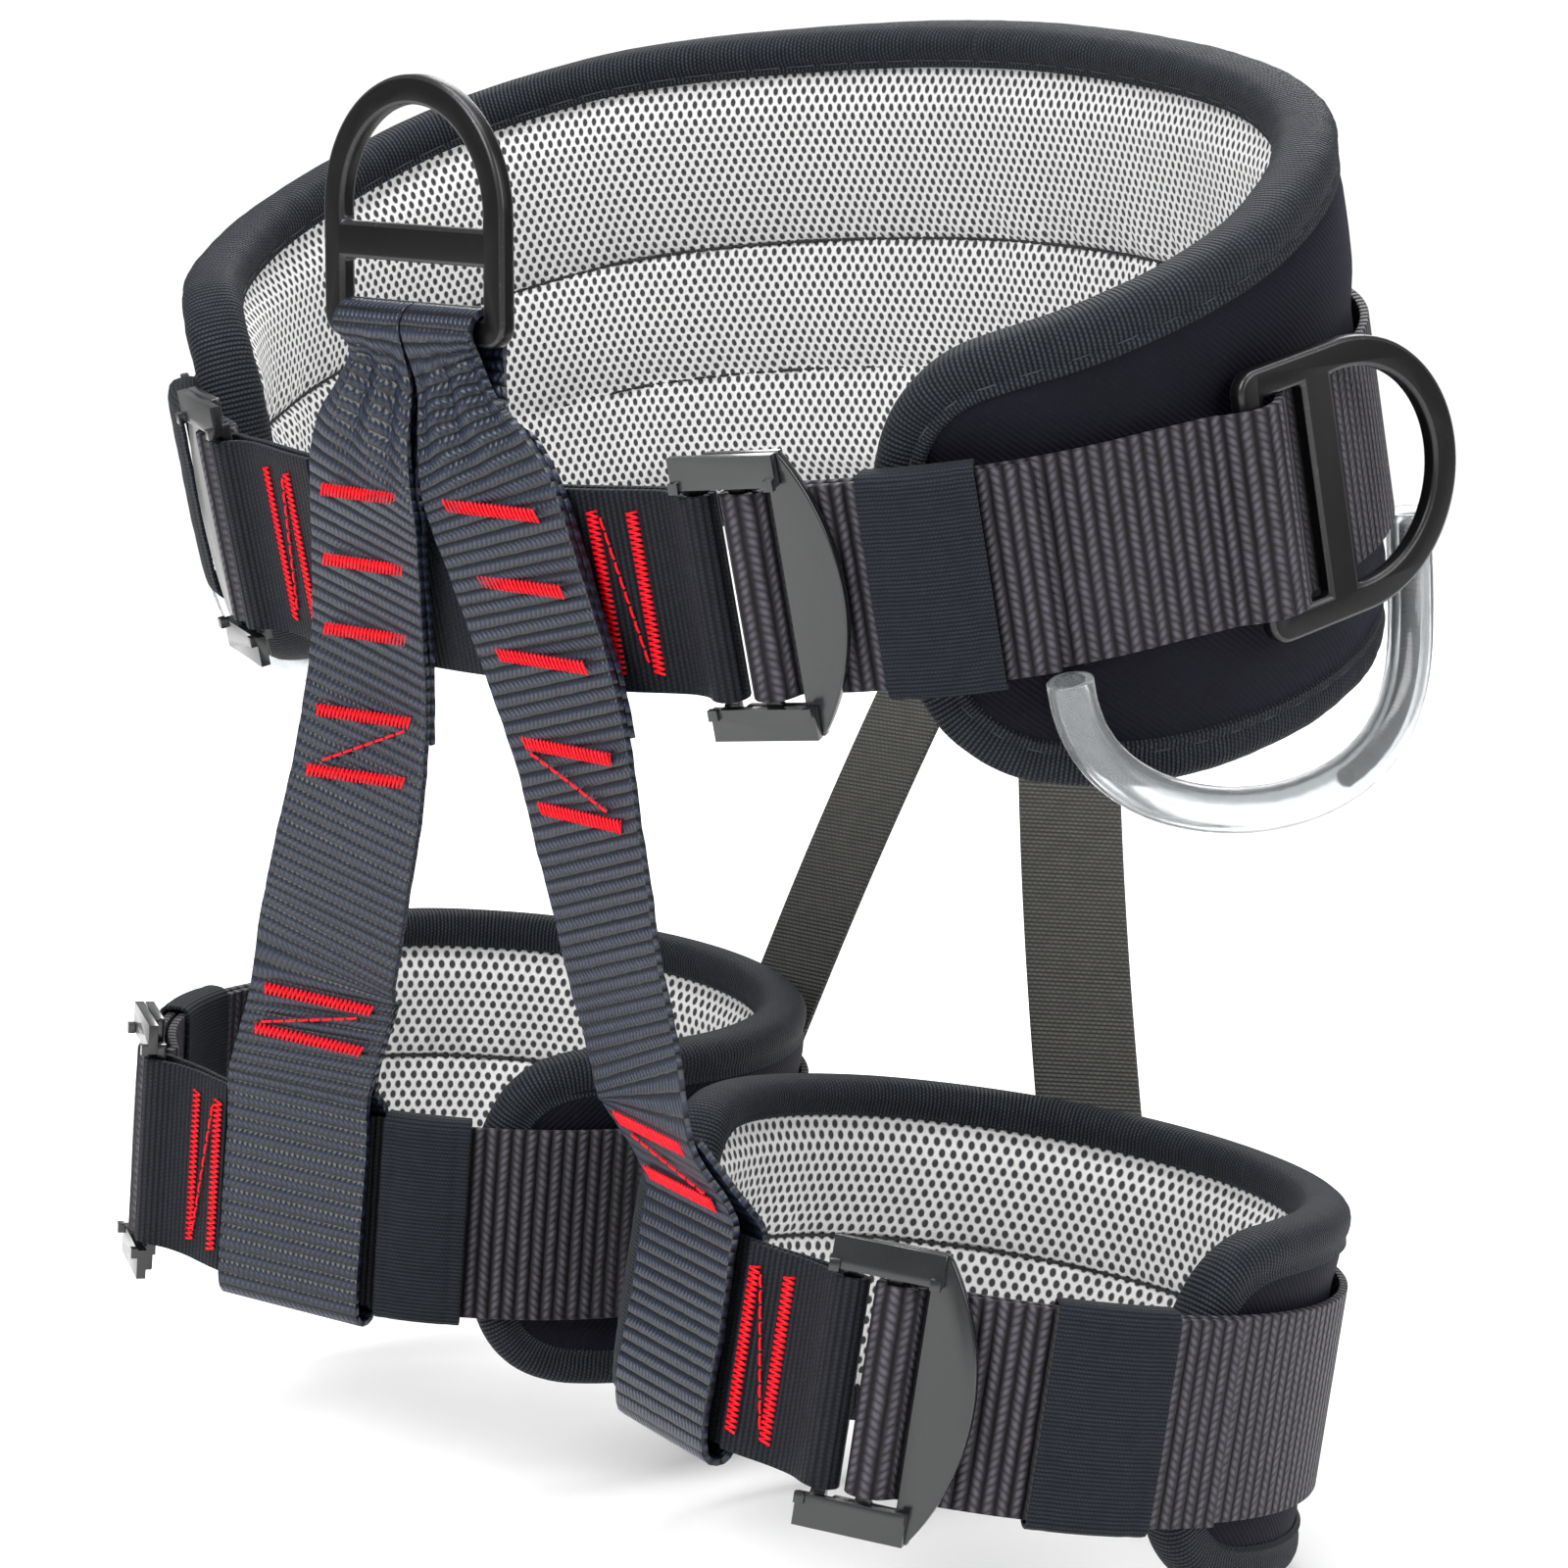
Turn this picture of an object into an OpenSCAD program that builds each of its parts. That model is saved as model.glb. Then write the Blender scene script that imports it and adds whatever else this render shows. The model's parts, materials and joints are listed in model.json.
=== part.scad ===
// Tree climbing saddle: padded waist belt, two padded leg loops, tie straps and rings.
// Axes: +Z up, -Y to the wearer's front, +X to the wearer's left. Millimetres.

/* [Waist] */
// half width of the waist opening, side to side
waist_half_width = 155; // [130:1:190]
// half depth of the waist opening, front to back
waist_half_depth = 98; // [85:1:125]
// radius of the belt round each hip
hip_radius = 80; // [60:1:90]
// lean of the whole waist ring, back edge up
waist_pitch = 13; // [0:1:20]
// thickness of the waist pad
pad_thick = 12; // [8:0.5:16]
// height of the pad's top edge above the webbing's middle, at the back
pad_top = 72; // [50:1:85]
// depth of the pad's bottom edge below the webbing's middle, at the back
pad_bottom = 48; // [35:1:60]

/* [Webbing] */
// width of the load webbing
web_width = 45; // [40:1:50]
// thickness of the adjustable webbing
web_thick = 2.0; // [1.5:0.1:2.6]
// thickness of the sewn front webbing
sewn_thick = 1.5; // [1.2:0.1:2.2]
// width of the two tie straps
strap_width = 39.5; // [38:1:45]
// width of the elastic risers behind
riser_width = 25; // [20:1:30]

/* [Rings] */
// outer width of each ring
ring_width = 59; // [58:1:66]
// thickness of each ring
ring_thick = 4; // [3.5:0.5:5]
// width of the metal of each ring
ring_band = 6.4; // [6:0.1:6.5]

/* [Legs] */
// radius of each leg loop at the pad's outer face
leg_radius = 75; // [65:1:90]
// distance of each loop's centre from the middle plane
leg_offset = 84.5; // [84:0.5:100]
// thickness of the leg pads
leg_pad_thick = 10; // [8:0.5:14]
// height of the leg pads
leg_pad_height = 78; // [60:1:95]

/* [Gear loops] */
// outer diameter of the clear tube
tube_od = 10; // [8:0.5:12]
// inner diameter of the clear tube
tube_id = 6.5; // [5:0.5:7]

/* [Hidden] */

// the waist oval: two wide arcs front and back, two hip arcs, all tangent
side_off = waist_half_width - hip_radius;
front_off = waist_half_depth - hip_radius;
wide_off = (side_off * side_off - front_off * front_off) / (2 * front_off);
wide_r = wide_off + waist_half_depth;
join_a = atan(side_off / wide_off);
len_front = wide_r * join_a * PI / 180;
len_side = hip_radius * (180 - 2 * join_a) * PI / 180;
len_half = 2 * len_front + len_side;

// outward normal angle at arc length s from the front middle, towards +X
function ang_pos(s) = s <= len_front ? s / wide_r * 180 / PI
  : s <= len_front + len_side ? join_a + (s - len_front) / hip_radius * 180 / PI
  : 180 - join_a + (s - len_front - len_side) / wide_r * 180 / PI;
function ang(s) = s < 0 ? -ang_pos(-s) : ang_pos(s);
function mid(s) = let(t = abs(s), g = s < 0 ? -1 : 1)
  t <= len_front ? [0, wide_off] : t <= len_front + len_side ? [g * side_off, 0] : [0, -wide_off];
function rad(s) = let(t = abs(s)) t <= len_front || t > len_front + len_side ? wide_r : hip_radius;
function oval(s, d) = mid(s) + (rad(s) + d) * [sin(ang(s)), -cos(ang(s))];

// the pad draws in below the webbing over the hips
function pinch(s, z) = z < -24 ? (z + 24) * 0.27 * max(0, abs(sin(ang(s))) - 0.35) / 0.65 : 0;
function pad_at(s, d, z) = let(q = oval(s, d + pinch(s, z))) [q[0], q[1], z];

function unit(v) = v / norm(v);
function tangent(p, i) = let(n = len(p))
  i == 0 ? unit(p[1] - p[0]) : i == n - 1 ? unit(p[n - 1] - p[n - 2])
  : unit(unit(p[i] - p[i - 1]) + unit(p[i + 1] - p[i]));
// widen the offset at a corner so that a bent band keeps its thickness
function mitre(p, i) = i == 0 || i == len(p) - 1 ? 1
  : 1 / max(0.6, tangent(p, i) * unit(p[i + 1] - p[i]));
function normal(p, i) = let(t = tangent(p, i)) [t[1], -t[0]] * mitre(p, i);
function at(v, i) = is_list(v) ? v[i] : v;
function cat(a, b) = [for (x = a) x, for (x = b) x];
function rev(a) = [for (i = [len(a) - 1 : -1 : 0]) a[i]];

// one solid through a list of rings of points, each ring seen along the sweep
module sweep(rings, closed = false) {
  k = len(rings);
  m = len(rings[0]);
  last = closed ? k - 1 : k - 2;
  polyhedron(
    points = [for (r = rings) each r],
    faces = cat(
      [for (i = [0 : last], j = [0 : m - 1])
        [i * m + j, i * m + (j + 1) % m, ((i + 1) % k) * m + (j + 1) % m, ((i + 1) % k) * m + j]],
      closed ? [] : [[for (j = [m - 1 : -1 : 0]) j], [for (j = [0 : m - 1]) (k - 1) * m + j]]));
}

// a band standing on edge along a plan path: offsets t0..t1, heights lo..hi
module band(p, t0, t1, lo, hi, closed = false)
  sweep([for (i = [0 : len(p) - 1]) let(n = normal(p, i)) [
    [p[i][0] + n[0] * t0, p[i][1] + n[1] * t0, at(lo, i)],
    [p[i][0] + n[0] * t1, p[i][1] + n[1] * t1, at(lo, i)],
    [p[i][0] + n[0] * t1, p[i][1] + n[1] * t1, at(hi, i)],
    [p[i][0] + n[0] * t0, p[i][1] + n[1] * t0, at(hi, i)]]], closed);

// ---- waist pad ----
// half outline of the pad as [arc length, height], from the back middle over the top
// to the front end and back along the bottom
pad_up = [[len_half, pad_top], [380, pad_top], [352, pad_top - 1], [325, pad_top - 1.5], [300, pad_top - 3],
  [285, pad_top - 4.5], [270, pad_top - 6.5], [256, pad_top - 8.5], [243, pad_top - 10.5],
  [230, pad_top - 13], [217, pad_top - 15.5], [204, pad_top - 18], [191, pad_top - 20.5],
  [178, pad_top - 22.5], [165, pad_top - 24], [152, pad_top - 25.5], [142, pad_top - 26.8],
  [133, pad_top - 28.8], [126, pad_top - 32.5], [120, pad_top - 38], [116, pad_top - 45],
  [113.5, pad_top - 54]];
pad_low = [[113.5, -18], [116, -26], [120, -34], [126, -40.5], [133, -45.5], [142, -49], [152, -51.5],
  [165, -53.5], [178, -54.5], [191, -55], [204, -55], [217, -55], [230, -54.5], [243, -54], [256, -53],
  [270, -52], [285, -51], [300, -50], [325, -49], [352, -pad_bottom - 0.4], [380, -pad_bottom],
  [len_half, -pad_bottom]];
pad_half = cat(pad_up, pad_low);
function flip(p) = [for (q = rev(p)) [-q[0], q[1]]];
pad_ring = cat([for (i = [0 : len(pad_half) - 2]) pad_half[i]],
  [for (i = [len(pad_half) - 1 : -1 : 1]) [2 * len_half - pad_half[i][0], pad_half[i][1]]]);
function wrap(s) = s > len_half ? s - 2 * len_half : s;
function ring_dir(i) = let(n = len(pad_ring), a = pad_ring[(i + n - 1) % n], b = pad_ring[(i + 1) % n],
  c = pad_ring[i]) unit(unit(c - a) + unit(b - c));
// binding tape section: x runs in from the pad's edge, y is the offset from the outer face
tape = [[9, 0], [-0.9, 0], [-1.7, -3], [-1.7, -9], [-0.9, -12], [9, -12], [9, -11], [0, -11], [0, -1], [9, -1]];
function tape_ring(i) = let(c = pad_ring[i], d = ring_dir(i), into = [-d[1], d[0]])
  [for (q = tape) let(w = c + into * q[0]) pad_at(wrap(w[0]), q[1], w[1])];

pad_s = [for (q = pad_low) q[0]];
pad_path_s = cat(pad_s, [for (i = [len(pad_s) - 2 : -1 : 0]) 2 * len_half - pad_s[i]]);
pad_lo = [for (q = pad_low) q[1]];
pad_hi = [for (i = [len(pad_up) - 1 : -1 : 0]) pad_up[i][1]];
function both(v) = cat(v, [for (i = [len(v) - 2 : -1 : 0]) v[i]]);

module waist_frame() rotate([waist_pitch, 0, 0]) children();
// slight outward crown of each pad layer at its middle line
crown = 0.06;
module pad_layer(d0, d1, inset)
  waist_frame() sweep([for (i = [0 : len(pad_path_s) - 1])
    let(s = wrap(pad_path_s[i]), lo = both(pad_lo)[i] + inset, hi = both(pad_hi)[i] - inset,
      k = lo < -30 ? -24 : (lo + hi) / 2)
    [pad_at(s, d0 + crown, k), pad_at(s, d0, lo), pad_at(s, d1, lo), pad_at(s, d1 + crown, k),
      pad_at(s, d1, hi), pad_at(s, d0, hi)]]);

module waist_pad_shell() color([0.08, 0.085, 0.10]) pad_layer(-2.6, -1.5, 0.5);
module waist_pad_foam() color([0.30, 0.30, 0.31]) pad_layer(-pad_thick + 3.0, -3.1, 0.5);
module waist_mesh_lining() color([0.78, 0.78, 0.77]) pad_layer(-pad_thick + 1.5, -pad_thick + 2.5, 0.5);
module waist_binding() color([0.05, 0.05, 0.055])
  waist_frame() sweep([for (i = [0 : len(pad_ring) - 1]) rev(tape_ring(i))], true);

// ---- waist webbing ----
half_web = web_width / 2;
buckle_s = 88;
ring_s = 193;
// points of a local frame at arc length s0: u along the belt, d outward from the tangent plane
function local(s0, u, d) = let(a = ang(s0)) oval(s0, 0) + u * [cos(a), sin(a)] + d * [sin(a), -cos(a)];
// loop of the adjustable webbing round the buckle's middle bar, tail first
loop_in = [[16, 4.2], [10, 4.2], [6.6, 4.2], [4.3, 5.0], [2.9, 7.4], [1.2, 9.3], [-1.3, 9.9], [-3.7, 9.0],
  [-4.8, 6.9], [-4.2, 4.3], [-2, 2.3], [3, 1.7], [14, 1.6]];
web_a = [for (q = loop_in) local(buckle_s, q[0], q[1])];
tail_l = [for (s = [146, 140, 134, 128, 122, 115, 109]) oval(s, 4.4)];
tail_r = [[147, 5.8], [144, 4.9], [140, 4.5], [134, 4.4], [128, 4.4], [122, 4.4], [115, 4.4], [109, 4.4]];
web_b = cat([for (s = [108, 115, 123, 131, 139, 147, 155, 163, 171]) oval(s, 1.6)],
  cat([for (q = [[-14, 1.8], [-10, 3.2], [-6.5, 6.6], [-2.5, 9.2], [2.5, 9.2], [6, 7.2], [9, 3.6], [12.5, 0.9]])
    local(ring_s, q[0], q[1])],
  [for (s = [[210 : 8 : 282], 291, [305 : 20 : 365], 386, 407])
    each [for (t = s) oval(min(t, len_half), 1.6)]]));
web_half = cat(tail_l, cat(web_a, web_b));
function mirror_path(p) = [for (q = rev(p)) [-q[0], q[1]]];
web_other = cat([for (q = tail_r) oval(q[0], q[1])], cat(web_a, web_b));
web_path = cat(web_half, [for (i = [len(web_other) - 2 : -1 : 0]) [-web_other[i][0], web_other[i][1]]]);
module waist_webbing() color([0.13, 0.13, 0.145])
  waist_frame() band(web_path, -web_thick / 2, web_thick / 2, -half_web, half_web);

// sewn front webbing, folded round each tongue's bar
fold = [[-16, 6.6], [-13.6, 9.2], [-11, 10.2], [-8.6, 9.2], [-7.7, 7.0], [-8.6, 4.8], [-11, 3.8], [-15, 3.4]];
front_half = cat([for (q = [[40, 4.9], [48, 4.9], [56, 4.9], [63, 4.9], [68, 5.4]]) oval(q[0], q[1])],
  cat([for (q = fold) local(buckle_s, q[0], q[1])],
    cat([oval(66, 2.9), oval(58, 2.6)], [for (s = [50 : -10 : 0]) oval(s, 2.6)])));
front_path = cat(front_half, [for (i = [len(front_half) - 2 : -1 : 0]) [-front_half[i][0], front_half[i][1]]]);
module front_belt_webbing() color([0.035, 0.035, 0.045])
  waist_frame() band(rev(front_path), -sewn_thick / 2, sewn_thick / 2, -half_web, half_web);

// a flat bar of raised thread between two points on a band's face
module thread(a, b, nrm, w, t) {
  d = unit(b - a);
  n = unit(nrm);
  s = unit(cross(d, n));
  sweep([for (p = [a, b]) [p - s * w / 2, p + s * w / 2, p + s * w / 2 + n * t, p - s * w / 2 + n * t]]);
}
module belt_thread(s0, z0, s1, z1, w) {
  a = oval(s0, 5.85);
  b = oval(s1, 5.85);
  thread([a[0], a[1], z0], [b[0], b[1], z1], [sin(ang((s0 + s1) / 2)), -cos(ang((s0 + s1) / 2)), 0], w, 0.7);
}
module belt_stitching() color([0.85, 0.05, 0.08])
  waist_frame() for (g = [-1, 1]) {
    belt_thread(g * 50, -18, g * 50, 18, 2.2);
    belt_thread(g * 60, -18, g * 60, 18, 2.2);
    belt_thread(g * 52, 16, g * 58, -16, 0.9);
  }

// ---- buckles: back frame with a bowed side plate, front tongue with lipped rails ----
module frame_plate() linear_extrude(2.4) difference() {
  union() {
    translate([-8, -31]) square([17.5, 62]);
    intersection() {
      translate([-34, 0]) circle(r = 53, $fn = 96);
      translate([3, -31]) square([20, 62]);
    }
  }
  translate([0.4, -24]) square([5.6, 48]);
  translate([-9, -24]) square([6, 48]);
}
module tongue_plate() {
  for (g = [-1, 1]) {
    translate([-15, g > 0 ? 24 : -31, 0]) linear_extrude(2.2) square([24, 7]);
    translate([-12.6, g > 0 ? 23.6 : -25.8, -2.5]) linear_extrude(2.6) square([3.2, 2.2]);
    for (x = [-15, 6.8]) translate([x, g > 0 ? 23.6 : -26, 2.1]) linear_extrude(1.6) square([2.2, 2.4]);
  }
  translate([-12.6, -24, -2.5]) linear_extrude(2.2) square([3.2, 48]);
}
// stand a flat plate on its edge in the plan's tangent plane, face outward
module stand(a) rotate([0, 0, a]) rotate([90, 0, 0]) children();
module waist_at(s, d) {
  p = oval(s, d);
  waist_frame() translate([p[0], p[1], 0]) stand(ang(s)) children();
}
module waist_buckle_frame_l() color([0.02, 0.02, 0.022]) waist_at(buckle_s, 5.7) frame_plate();
module waist_buckle_frame_r() color([0.02, 0.02, 0.022]) mirror([1, 0, 0]) waist_at(buckle_s, 5.7) frame_plate();
module waist_buckle_tongue_l() color([0.03, 0.03, 0.033]) waist_at(buckle_s, 8.4) tongue_plate();
module waist_buckle_tongue_r() color([0.03, 0.03, 0.033]) mirror([1, 0, 0]) waist_at(buckle_s, 8.4) tongue_plate();

// ---- keepers ----
// flat section between two radii at an angle, h high each way
function arc_ring(a, r0, r1, h) = [for (q = [[r0, -h], [r1, -h], [r1, h], [r0, h]])
  [sin(a) * q[0], -cos(a) * q[0], q[1]]];
// sleeve round a band bent to radius r: d holds its inner wall's two faces and its outer wall's two faces
module keeper_ring(r, d, a0, a1) {
  st = [for (a = [a0 : (a1 - a0) / 6 : a1 + 0.01]) a];
  difference() {
    sweep([for (a = st) arc_ring(a, r + d[0], r + d[3], half_web + 1.5)]);
    sweep([for (a = [a0 - 3, each st, a1 + 3]) arc_ring(a, r + d[1], r + d[2], half_web + 0.4)]);
  }
}
module keeper_waist() waist_frame() translate([side_off, 0, 0])
  keeper_ring(hip_radius, [0.2, 0.4, 6.6, 7.7], 24.5, 41);
module waist_keeper_l() color([0.12, 0.12, 0.13]) keeper_waist();
module waist_keeper_r() color([0.12, 0.12, 0.13]) mirror([1, 0, 0]) keeper_waist();

// ---- rings ----
ring_r = ring_width / 2;
module ring_plate() linear_extrude(ring_thick, center = true) difference() {
  union() {
    intersection() {
      translate([24.5, 0]) circle(r = ring_r, $fn = 96);
      translate([2, -ring_r]) square([60, 2 * ring_r]);
    }
    translate([2, -ring_r]) square([22.5, 2 * ring_r]);
    translate([-3, -ring_r + 5]) square([6, 2 * ring_r - 10]);
    for (g = [-1, 1]) translate([2, g * (ring_r - 5)]) circle(r = 5, $fn = 32);
  }
  translate([3, -ring_r + ring_band]) square([11, 2 * (ring_r - ring_band)]);
  intersection() {
    translate([24.5, 0]) circle(r = ring_r - ring_band, $fn = 96);
    translate([22, -ring_r]) square([60, 2 * ring_r]);
  }
}
module side_ring() waist_at(ring_s, 4.1) ring_plate();
module side_ring_l() color([0.03, 0.03, 0.03]) side_ring();
module side_ring_r() color([0.03, 0.03, 0.03]) mirror([1, 0, 0]) side_ring();
bar_y = -104;
bar_z = 31;
module front_ring() color([0.03, 0.03, 0.03])
  translate([0, bar_y, bar_z]) rotate([0, -90, -90]) ring_plate();

// ---- gear loops ----
loop_a0 = 49.5;
loop_a1 = 134;
loop_d = 5.4;
loop_drop = 42;
loop_z = -24.5;
// centre line of the tube hanging under the webbing, bent round the hip
function loop_pt(t) = let(a = (loop_a0 + loop_a1) / 2 - (loop_a1 - loop_a0) / 2 * cos(t),
    r = hip_radius + loop_d - 5.5 * sin(t))
  [side_off + r * sin(a), -r * cos(a), loop_z - loop_drop * pow(sin(t), 0.8)];
function round_ring(t, r, m) = let(d = unit(loop_pt(min(t + 2, 180)) - loop_pt(max(t - 2, 0))),
    e = unit(cross(d, [0, 0, 1] + [0.001, 0, 0])), f = cross(e, d))
  [for (j = [0 : m - 1]) loop_pt(t) + r * (e * cos(j * 360 / m) + f * sin(j * 360 / m))];
loop_t = [0, 6, 14, 24, 36, 48, 62, 76, 90, 104, 118, 132, 144, 156, 166, 174, 180];
function shift_end(t, r, m, k) = let(d = unit(loop_pt(2) - loop_pt(0)), e = unit(loop_pt(180) - loop_pt(178)))
  [for (q = round_ring(t, r, m)) q + (t == 0 ? -d * k : t == 180 ? e * k : [0, 0, 0])];
module tube() waist_frame() difference() {
  sweep([for (t = loop_t) round_ring(t, tube_od / 2, 12)]);
  sweep([for (t = loop_t) shift_end(t, tube_id / 2, 12, 1)]);
}
module tube_cord() waist_frame()
  sweep([for (t = [96, 104, 118, 132, 144, 156, 166, 174, 179]) round_ring(t, 2.1, 8)]);
module gear_loop_tube_l() color([0.85, 0.87, 0.88, 0.45]) tube();
module gear_loop_tube_r() color([0.85, 0.87, 0.88, 0.45]) mirror([1, 0, 0]) tube();
module gear_loop_cord_l() color([0.04, 0.04, 0.045]) tube_cord();
module gear_loop_cord_r() color([0.04, 0.04, 0.045]) mirror([1, 0, 0]) tube_cord();

// ---- tie straps ----
// stations down one strap: [x, y, z, width, turn of the face, lean to +X shared by both straps]
strap = [[11.2, -106.8, 22, 22, 0, 1], [14, -108.2, 13, 27.4, -1, 2.5], [18, -108.4, 4, 35.4, -2, 4],
  [21, -107.6, -4, strap_width, -2.5, 5.5], [24, -105.4, -15, strap_width, -2, 6],
  [27, -102.2, -29, strap_width, -1, 6], [30.5, -99.6, -43, strap_width, 1, 6.5],
  [34, -98.2, -57, strap_width, 4, 7], [39.5, -97.2, -78, strap_width, 8, 6.5],
  [46.5, -95.2, -102, strap_width, 12, 4], [50.6, -93.5, -116, strap_width, 13.5, 2.5],
  [54.3, -92.5, -128, strap_width, 14.5, 1.5]];
// point t behind the front face and v half widths across
function strap_pt(i, t, v, k) = let(q = strap[i], a = q[4], n = len(strap),
    e = strap[min(i + 1, n - 1)] - strap[max(i - 1, 0)], d = unit([e[0], e[2]]),
    w = unit([-d[1] * cos(a), -sin(a), d[0]]))
  [q[0] + k * q[5], q[1], q[2]] + v * q[3] / 2 * w + t * [sin(a), cos(a), 0];
function strap_ring(i, t0, t1, k) = [for (q = [[t0, -1], [t0, 1], [t1, 1], [t1, -1]])
  strap_pt(i, q[0], q[1], k)];
strap_last = len(strap) - 1;
function strap_end(k) = k > 0 ? strap_last : strap_last - 1;
fold_end = 7;
// one length of webbing: up the front, round the ring's bar, down behind
module strap_whole(k) sweep([for (r = cat([for (i = [strap_end(k) : -1 : 0]) strap_ring(i, 0, 1.5, k)],
  cat([for (a = [0 : 30 : 180]) [for (q = [[5.6, -1], [5.6, 1], [4.1, 1], [4.1, -1]])
      [11.4 + q[1] * 11.1, bar_y - cos(a) * q[0], bar_z + sin(a) * q[0]]]],
    cat([[for (q = [[0, -1], [0, 1], [-1.5, 1], [-1.5, -1]]) [11.3 + k * 1 + q[1] * 11.1, -99.6 + q[0], 22]],
      [for (q = [[0, -1], [0, 1], [-1.5, 1], [-1.5, -1]]) [14 + k * 2.5 + q[1] * 13.2, -103.4 + q[0], 13]]],
      [for (i = [2 : fold_end]) strap_ring(i, 3.2, 1.7, k)])))) rev(r)]);
module tie_strap_l() color([0.04, 0.045, 0.075]) strap_whole(1);
module tie_strap_r() color([0.04, 0.045, 0.075]) mirror([1, 0, 0]) strap_whole(-1);

function strap_at(z, c) = lookup(z, [for (i = [strap_last : -1 : 0]) [strap[i][2], strap[i][c]]]);
module strap_thread(z0, u0, z1, u1, w, k) {
  a = strap_at(z0, 4);
  b = strap_at(z1, 4);
  thread([strap_at(z0, 0) + k * strap_at(z0, 5) + u0 * cos(a), strap_at(z0, 1) - u0 * sin(a) - 1, z0],
    [strap_at(z1, 0) + k * strap_at(z1, 5) + u1 * cos(b), strap_at(z1, 1) - u1 * sin(b) - 1, z1],
    [-sin(a), -cos(a), 0], w, 0.7);
}
module strap_threads(k) {
  for (z = [-6, -22, -38]) strap_thread(z, -14, z, 14, 2.2, k);
  strap_thread(-57, -15, -57, 15, 2.2, k);
  strap_thread(-71, -15, -71, 15, 2.2, k);
  strap_thread(-59, -13, -69, 13, 0.9, k);
}
module strap_stitching_l() color([0.85, 0.05, 0.08]) strap_threads(1);
module strap_stitching_r() color([0.85, 0.05, 0.08]) mirror([1, 0, 0]) strap_threads(-1);

// ---- leg loops ----
leg_y = -15;
leg_z = -183;
// [pitch about X, roll about Y, rise] of each loop, left then right
leg_pose = [[-8, 4, -7], [-2, 4, 7]];
module leg_frame(side) {
  i = side > 0 ? 0 : 1;
  translate([side * leg_offset, leg_y, leg_z + leg_pose[i][2]])
    rotate([leg_pose[i][0], leg_pose[i][1], 0]) children();
}
// the left loop's shapes are drawn in its own plane, the right ones are their mirror image
module leg(side) leg_frame(side) mirror([side > 0 ? 0 : 1, 0, 0]) children();
function on(a, d) = (leg_radius + d) * [sin(a), -cos(a)];
function leg_local(a, u, d) = on(a, d) + u * [cos(a), sin(a)];
leg_a0 = 77;
leg_a1 = 312;
half_pad = leg_pad_height / 2;
leg_top = [[leg_a0, 14], [leg_a0 + 1.6, 22], [leg_a0 + 4.6, 29], [leg_a0 + 9, 34], [leg_a0 + 15, 37],
  [leg_a0 + 24, half_pad - 0.7]];
leg_hi = cat(leg_top, cat([for (a = [112 : 11.5 : 278]) [a, half_pad]],
  [for (q = rev(leg_top)) [leg_a0 + leg_a1 - q[0], q[1]]]));
leg_out = cat(rev(leg_hi), [for (q = leg_hi) [q[0], -q[1]]]);
function leg_dir(i) = let(n = len(leg_out), k = PI / 180 * leg_radius,
  a = leg_out[(i + n - 1) % n], b = leg_out[(i + 1) % n], c = leg_out[i])
  unit(unit([(c[0] - a[0]) * k, c[1] - a[1]]) + unit([(b[0] - c[0]) * k, b[1] - c[1]]));
leg_tape = [[8, 0], [-0.9, 0], [-1.6, -leg_pad_thick / 4], [-1.6, -leg_pad_thick * 3 / 4], [-0.9, -leg_pad_thick],
  [8, -leg_pad_thick], [8, -leg_pad_thick + 0.9], [0, -leg_pad_thick + 0.9], [0, -0.9], [8, -0.9]];
function leg_tape_ring(i) = let(c = leg_out[i], d = leg_dir(i), into = [-d[1], d[0]])
  [for (q = leg_tape)
    let(xy = on(c[0] + into[0] * q[0] / (PI / 180 * leg_radius), q[1])) [xy[0], xy[1], c[1] + into[1] * q[0]]];
module leg_layer(d0, d1) sweep([for (q = leg_hi) let(a = on(q[0], d0), b = on(q[0], d1), h = q[1] - 0.1)
  [[a[0], a[1], -h], [b[0], b[1], -h], [b[0], b[1], h], [a[0], a[1], h]]]);
module leg_binding() sweep([for (i = [0 : len(leg_out) - 1]) rev(leg_tape_ring(i))], true);

buckle_a = 29;
leg_tail = [for (a = [84, 78, 72, 66, 60, 54, 48]) on(a, 4.6)];
leg_loop = [for (q = [[12, 3.6], [9, 4.1], [6.6, 4.2], [4.3, 5.0], [2.9, 7.4], [1.2, 9.3], [-1.3, 9.9], [-3.7, 9.0],
  [-4.8, 6.9], [-4.2, 4.3], [-2, 2.3], [3, 1.7]]) leg_local(buckle_a, q[0], q[1])];
leg_web_path = cat(leg_tail, cat(leg_loop, [for (a = [37 : 8 : 325]) on(a, 1.7)]));
leg_fold = cat([for (q = [[1.2, 3.5], [4, 3.5], [8, 3.5], [11.5, 3.9]]) on(q[0], q[1])],
  [for (q = [[-17.4, 4.4], [-14, 8.4], [-11, 10.2], [-8.6, 9.2], [-7.7, 7.0],
  [-8.6, 4.8], [-11, 3.4], [-14, 1.8]]) leg_local(buckle_a, q[0], q[1])]);
leg_front_path = cat(leg_fold, [for (a = [12 : -6.5 : -33.5]) on(a, 1.2)]);
module leg_webbing() band(leg_web_path, -web_thick / 2, web_thick / 2, -half_web, half_web);
module leg_front() band(rev(leg_front_path), -sewn_thick / 2, sewn_thick / 2, -half_web, half_web);
module leg_threads() {
  for (a = [3.2, 10]) {
    p = on(a, 4.7);
    thread([p[0], p[1], -18], [p[0], p[1], 18], [sin(a), -cos(a), 0], 2.2, 0.7);
  }
  p = on(4.6, 4.7);
  q = on(9.4, 4.7);
  thread([p[0], p[1], 16], [q[0], q[1], -16], [sin(7), -cos(7), 0], 0.9, 0.6);
}
module leg_at(a, d) { p = on(a, d); translate([p[0], p[1], 0]) stand(a) children(); }
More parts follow.
